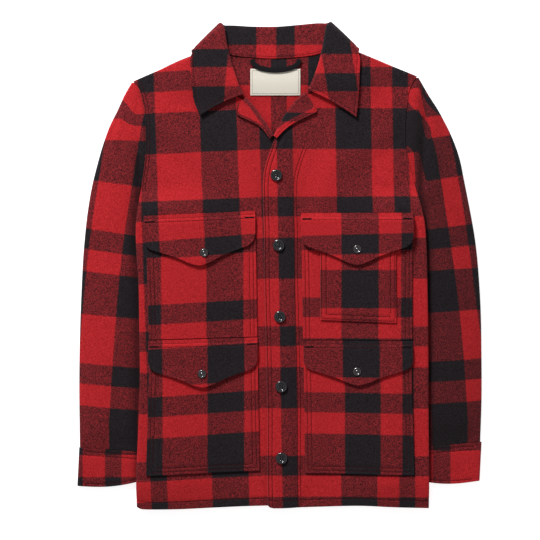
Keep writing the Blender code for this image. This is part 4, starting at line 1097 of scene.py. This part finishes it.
def sewn(name, rows, slot, material, pitch=3.4, length=2.7, thickness=0.6, turned_by=0.0):
    """Stitches along rows of (path, surface grid, wall), in one mesh.

    Each is a tube of six sides. At its share s from -0.5 to 0.5 its radius is the thickness times
    (1 - 0.75 (2 s) to the power 4), and both ends dive into the cloth."""
    shares = np.array((-0.5, -0.42, -0.25, 0.0, 0.25, 0.42, 0.5))
    swell = 1 - (2 * shares) ** 4 * 0.75
    round_it = np.radians(np.arange(SIDES) * 360.0 / SIDES)
    centres, headings, heights = [], [], []
    for path, grid, wall in rows:
        path = np.asarray(path, float)
        run = np.concatenate([[0], np.cumsum(np.linalg.norm(np.diff(path, axis=0), axis=1))])
        at = np.arange(pitch / 2, run[-1], pitch)
        middle, ahead = passed(run, path, at), passed(run, path, at + 0.4)
        heading = np.arctan2(*(ahead - middle)[:, ::-1].T) + turned_by
        centres.append(middle)
        headings.append(heading)
        heights.append(on_surface(grid, middle) + wall / 2)
    centre, heading, top = np.concatenate(centres), np.concatenate(headings), np.concatenate(heights)
    along = np.stack([np.cos(heading), np.sin(heading)], axis=1)
    side = np.stack([-along[:, 1], along[:, 0]], axis=1)
    radius = thickness * swell
    xy = centre[:, None, None] + along[:, None, None] * (shares * length)[None, :, None, None]
    xy = xy + side[:, None, None] * (radius[:, None] * np.cos(round_it))[None, ..., None]
    z = top[:, None, None] + (radius[:, None] * np.sin(round_it) - 0.55 * (1 - swell)[:, None] + 0.1)[None]
    z = np.broadcast_to(z, xy.shape[:3])
    points = np.concatenate([xy, z[..., None]], axis=-1).reshape(-1, 3)
    ring, spoke = np.meshgrid(np.arange(len(shares) - 1), np.arange(SIDES), indexing="ij")
    here, beside = ring * SIDES + spoke, ring * SIDES + (spoke + 1) % SIDES
    quads = np.stack([here, here + SIDES, beside + SIDES, beside], axis=-1).reshape(1, -1, 4)
    first = (np.arange(len(centre)) * len(shares) * SIDES)[:, None]
    last = (len(shares) - 1) * SIDES
    caps = np.concatenate([first + np.arange(SIDES), first + last + np.arange(SIDES - 1, -1, -1)])
    faces = (first[..., None] + quads).reshape(-1, 4).tolist() + caps.tolist()
    return made(name, points, faces, material)


def inset(grid, edge, distance, along=(0.0, 1.0)):
    """A path of (x, y) at a distance inside one edge of a grid: left, right, top or bottom. `along` is the
    share of the edge that it follows."""
    plan = grid[..., :2] if edge in ("left", "right") else grid[..., :2].transpose(1, 0, 2)
    plan = plan[:, ::-1] if edge in ("right", "top") else plan
    run = np.cumsum(np.linalg.norm(np.diff(plan, axis=1, prepend=plan[:, :1]), axis=2), axis=1)
    path = np.array([passed(distances, line, distance) for distances, line in zip(run, plan)])
    low, high = (int(round(share * (len(path) - 1))) for share in along)
    return path[low : high + 1]


# Spun polyester: dull, and darker than the red wool that it is sunk in. The oxblood is partly the thread's own
# colour and partly painted shade, for the shade in its grooves
oxblood = painted("oxblood_polyester_thread", "#3a070c", 0.9, Specular_IOR_Level=0.15)[0]
black_thread = painted("black_polyester_thread", "#0f0e10", 0.9, Specular_IOR_Level=0.1)[0]

# The placket, the hems and the left armhole
open_neck = float((grid_right[:, 0, 1] < 200).mean())
underarm = float((grid_left[:, 0, 1] < 122).mean())
rows = [(inset(grid_right, "left", at, (0.0, open_neck)), grid_right, WALL) for at in PLACKET_ROWS]
rows += [(inset(grid, "bottom", HEM_ROW), grid, WALL) for grid in (grid_left, grid_right)]
rows += [(inset(grid_left, "left", at, (underarm, 0.985)), grid_left, WALL) for at in ARMHOLE_ROWS]
for place, grid in pocket_tops.items():
    lowest, leftmost, rightmost = grid[0, :, 1].max(), grid[:, 0, 0].max(), grid[:, -1, 0].min()
    under_flap = place.startswith("upper")
    for at in PATCH_ROWS[place]:
        for edge in ("left", "right"):
            path = inset(grid, edge, at)
            rows.append((path[path[:, 1] > lowest + (1.0 if under_flap else at)], grid, WALL))
        if not under_flap:
            path = inset(grid, "bottom", at)
            between = (path[:, 0] > leftmost + at - 1) & (path[:, 0] < rightmost - at + 1)
            rows.append((path[between], grid, WALL))
for grid in flap_tops.values():
    rows += [((grid[-1, :, :2] - (0.0, at))[2:-2], grid, WALL) for at in FLAP_ROWS]
for grid in (cuff_left_top, cuff_right_top):
    rows += [(inset(grid, "top", at)[6:-6], grid, CUFF_WALL) for at in CUFF_TOP_ROWS]
    rows.append((inset(grid, "bottom", CUFF_BOTTOM_ROW)[6:-6], grid, CUFF_WALL))
sewn("topstitching", rows, "dark_red_wool", oxblood)

# The collar's fall at both fronts, along its free edge and its front edge, its stand, and the lapels
stand_lines, stand_and_fold = len(up_the_stand), len(up_the_stand) + len(round_the_fold)
rows = []
for on_side, front, next_to_it in ((stations < 4.9, 0, 4), (stations > 19.1, -1, -5)):
    fall = collar_grid[stand_and_fold:, on_side]
    inward = fall[-4, :, :2] - fall[-1, :, :2]
    edge = fall[-1, :, :2] + inward / np.linalg.norm(inward, axis=1)[:, None] * COLLAR_ROW
    beside = fall[:, next_to_it, :2] - fall[:, front, :2]
    lower = fall[:, front, :2] + beside / np.linalg.norm(beside, axis=1)[:, None] * COLLAR_ROW
    edge = edge[3:] if front == 0 else edge[:-3]
    rows += [(edge, fall, COLLAR_WALL), (lower[2:-5], fall, COLLAR_WALL)]
stand = collar_grid[:stand_lines, (stations >= 9) & (stations <= 15)]
rows.append((stand[0, :, :2] + (0.0, 3.4), stand, COLLAR_WALL))
rows.append((inset(lapel_left_grid, "left", LAPEL_ROW), lapel_left_grid, LAPEL_WALL))
rows.append((inset(lapel_right_grid, "right", LAPEL_ROW), lapel_right_grid, LAPEL_WALL))
sewn("collar_topstitching", rows, "dark_red_wool", oxblood, pitch=3.2, length=2.3, thickness=0.42)

# Bars across the flaps' upper corners. Columns: flap, x, y of one end, x, y of the other
BARS = (
    ("upper_left", -55.2, 77.4, -40.4, 77.6),
    ("upper_left", -214.0, 69.6, -198.0, 70.4),
    ("upper_right", 36.8, 75.2, 50.8, 75.2),
    ("upper_right", 196.0, 75.2, 210.4, 75.2),
    ("lower_left", -206.6, -128.6, -192.0, -128.2),
    ("lower_left", -52.0, -124.6, -37.4, -124.2),
    ("lower_right", 40.6, -129.0, 55.0, -129.0),
    ("lower_right", 195.0, -129.0, 209.4, -129.0),
)
rows = [(((x0, y0), (x1, y1)), flap_tops[place], WALL + 0.5) for place, x0, y0, x1, y1 in BARS]
across_the_bar = {"pitch": 0.6, "length": 2.6, "thickness": 0.4, "turned_by": math.radians(82)}
sewn("bar_tacks", rows, "black_wool", black_thread, **across_the_bar)

# The buttons
# Five sew-through buttons, turned from dark horn and polished: a raised rim round a dished middle, with four
# holes and thread.
BUTTONS = ((-5.0, 145.0), (-1.4, 33.0), (0.6, -81.0), (2.7, -192.6), (3.2, -307.0))  # x, y
TOP_SIDE = 1.14  # above this height a piece has its dents
HOLE_AT = 1.9  # from the middle, in x and in y
# Polished horn: near black, with small sharp highlights along its rim
horn = painted("dark_polished_horn", "#1b1a1e", 0.16, Coat_Weight=1.0, Coat_Roughness=0.05)[0]


def turned_piece(name, profile, place, dents, material, replaced, steps=48):
    """A round piece: its profile of radius and height, from the middle of its top round to that of its
    underside, turned round the z axis.

    Each dent (x, y, radius, depth) lowers the top by depth times exp(-(distance / radius) to the power 4)."""
    radius, height = np.array(profile, float).T
    angle = np.radians(np.arange(steps + 1) * 360.0 / steps)
    x, y = radius[:, None] * np.cos(angle), radius[:, None] * np.sin(angle)
    z = np.repeat(height[:, None], steps + 1, axis=1)
    for dent_x, dent_y, dent_radius, depth in dents:
        away = np.hypot(x - dent_x, y - dent_y) / dent_radius
        z = z - depth * np.exp(-(away**4)) * (z > TOP_SIDE)
    grid = np.stack([x + place[0], y + place[1], z + place[2]], axis=-1)
    piece = made(name, grid, grid_faces(*grid.shape[:2])[:, ::-1].tolist(), material)
    piece.modifiers.new("joined", "WELD").merge_threshold = 0.00002
    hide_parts(replaced)


# Columns: radius, height
dish = [(r, 1.7 + 0.05 * (r / 4.6) ** 2) for r in np.linspace(0.0, 4.6, 20)]
rim = [(5.2, 1.95), (5.7, 2.5), (6.2, 3.2), (6.8, 3.65), (7.5, 3.8), (8.2, 3.65), (8.8, 3.2), (9.3, 2.5)]
base = [(9.5, 1.8), (9.3, 1.2), (8.6, 0.5), (7.6, 0.12), (6.6, 0.0), (3.0, 0.0), (0.0, 0.0)]
holes = [(HOLE_AT * sx, HOLE_AT * sy, 1.15, 1.2) for sx in (-1, 1) for sy in (-1, 1)]
rows = []
for number, (x, y) in enumerate(BUTTONS, 1):
    top = float(front_height(np.float64(x), y)) + PLACKET_RISE + WALL / 2 + REST
    profile = dish + rim + base
    turned_piece(f"button_{number}_horn", profile, (x, y, top), holes, horn, f"button_{number}")
    # Two strands on either side, from hole to hole, a little below the rim
    level = np.array([(x + dx, y + dy, top + 1.55) for dx in (-3, 0, 3) for dy in (-3, 0, 3)])
    for dx in (-1.95, -1.6, 1.6, 1.95):
        rows.append((((x + dx, y - HOLE_AT), (x + dx, y + HOLE_AT)), level, 0.6))
sewn("button_thread", rows, "button", black_thread, pitch=3.8, length=4.0, thickness=0.3)

# The snaps
# Ring-shaped caps of blackened brass, pressed from sheet and set through the flaps above their points.
# Columns: flap, x, y
SNAPS = (
    ("upper_left", -120.2, 21.3),
    ("upper_right", 123.5, 26.6),
    ("lower_left", -123.5, -171.7),
    ("lower_right", 123.4, -168.0),
)
SNAP_REST = 0.2
# Blackened and lacquered: a dark mirror, with bright points on its ring and its middle
blackened_brass = painted("blackened_brass", "#635f61", 0.2, Metallic=0.9)[0]
# Columns: radius, height
cap = (
    ((0.0, 2.5), (0.7, 2.44), (1.4, 2.2), (2.0, 1.75), (2.5, 1.3), (3.1, 1.2), (3.7, 1.7), (4.3, 2.4))
    + ((5.0, 2.7), (5.8, 2.5), (6.6, 1.8), (7.1, 1.0), (7.2, 0.4), (6.9, 0.0), (3.0, 0.0), (0.0, 0.0))
)
for place, x, y in SNAPS:
    top = float(on_surface(flap_tops[place], np.array([[x, y]]))[0]) + WALL / 2 + SNAP_REST
    turned_piece(f"snap_{place}_cap", cap, (x, y, top), [], blackened_brass, f"snap_{place}")

# The neck label
# A woven cotton label, its edges turned under, sewn flat inside the back. Its face is bare but for a woven
# border.
LABEL = (-46.6, 273.2, 33.4, 315.4)  # left, bottom, right, top
LABEL_WALL = 1.0
BORDER = (("X", 37.0), ("Y", 18.1))  # distance from the label's middle
BORDER_HALF = 0.35  # half the border's width
RIB_PITCH = 0.5


def woven_label():
    """Ecru satin-woven cotton: pale and matt, with a fine rib, and a thin darker border near the edge."""
    material, tree, shader = painted("ecru_woven_cotton", "#dcd6c8", 0.85, Sheen_Weight=0.1)
    place = node(tree, "ShaderNodeUVMap", uv_map="check").outputs["UV"]
    parts = node(tree, "ShaderNodeSeparateXYZ", links={0: place})
    lines = []
    for axis, half in BORDER:
        away = node(tree, "ShaderNodeMath", links={0: parts.outputs[axis]}, operation="ABSOLUTE")
        past = node(tree, "ShaderNodeMath", {1: half}, {0: away.outputs[0]}, operation="SUBTRACT")
        lines.append(past.outputs[0])
    edge = node(tree, "ShaderNodeMath", links={0: lines[0], 1: lines[1]}, operation="MAXIMUM")
    near = node(tree, "ShaderNodeMath", {1: 0.0, 2: BORDER_HALF}, {0: edge.outputs[0]}, operation="COMPARE")
    colour = node(
        tree,
        "ShaderNodeMix",
        {6: (*linear("#dcd6c8"), 1), 7: (*linear("#8d8578"), 1)},
        {0: near.outputs[0]},
        data_type="RGBA",
    )
    tree.links.new(colour.outputs[2], shader.inputs["Base Color"])
    turns = {1: 2 * math.pi / RIB_PITCH}
    rib = node(tree, "ShaderNodeMath", turns, {0: parts.outputs["Y"]}, operation="MULTIPLY")
    wave = node(tree, "ShaderNodeMath", links={0: rib.outputs[0]}, operation="SINE")
    bump = node(tree, "ShaderNodeBump", {"Strength": 0.3, "Distance": 0.0002}, {"Height": wave.outputs[0]})
    tree.links.new(bump.outputs["Normal"], shader.inputs["Normal"])
    return material


left_x, low_y, right_x, high_y = LABEL
label_corners = ((left_x, high_y), (right_x, high_y), (right_x, low_y), (left_x, low_y))
xy = quad_patch(label_corners, spread(80.0, 3.0), spread(42.0, 2.0))
x, y = xy[..., 0], xy[..., 1]
z = mid_plane(x, y) - MIDDLE + WALL / 2 + REST + LABEL_WALL / 2
middle = ((left_x + right_x) / 2, (low_y + high_y) / 2)
label = cloth(
    "neck_label_woven",
    raised(xy, z),
    xy - middle,
    LABEL_WALL,
    "neck_label",
    turned=0.3,
    material=woven_label(),
)

# The hanging loop
# A black cotton tape, folded lengthwise. Both its ends go into the neck seam, and it bows down over the
# label.
LOOP = (
    ((-44.0, 330.0), (-40.0, 322.0), (-28.0, 315.6), (-6.6, 313.0), (15.0, 315.6), (28.0, 322.0))
    + ((32.0, 330.0),)
)
LOOP_WIDTH = 8.0
LOOP_WALL = 2.0
LOOP_CROWN = 0.25
# Dyed cotton: black and dull
cotton_tape = painted("black_cotton_tape", "#141214", 0.9, Specular_IOR_Level=0.15)[0]
line = by_number(LOOP, np.linspace(0, len(LOOP) - 1, 49))
along = np.gradient(line, axis=0)
along = along / np.linalg.norm(along, axis=1)[:, None]
across = np.stack([-along[:, 1], along[:, 0]], axis=1)
shares = np.linspace(-0.5, 0.5, 7)
xy = line[None] + across[None] * (shares * LOOP_WIDTH)[:, None, None]
z = mid_plane(xy[..., 0], xy[..., 1]) - MIDDLE + WALL / 2 + 2 * REST + LABEL_WALL + LOOP_WALL / 2
z = z + LOOP_CROWN * np.cos(math.pi * shares)[:, None]
loop = cloth(
    "hanging_loop_tape",
    raised(xy, z),
    xy,
    LOOP_WALL,
    "hanging_loop",
    turned=0.7,
    material=cotton_tape,
)
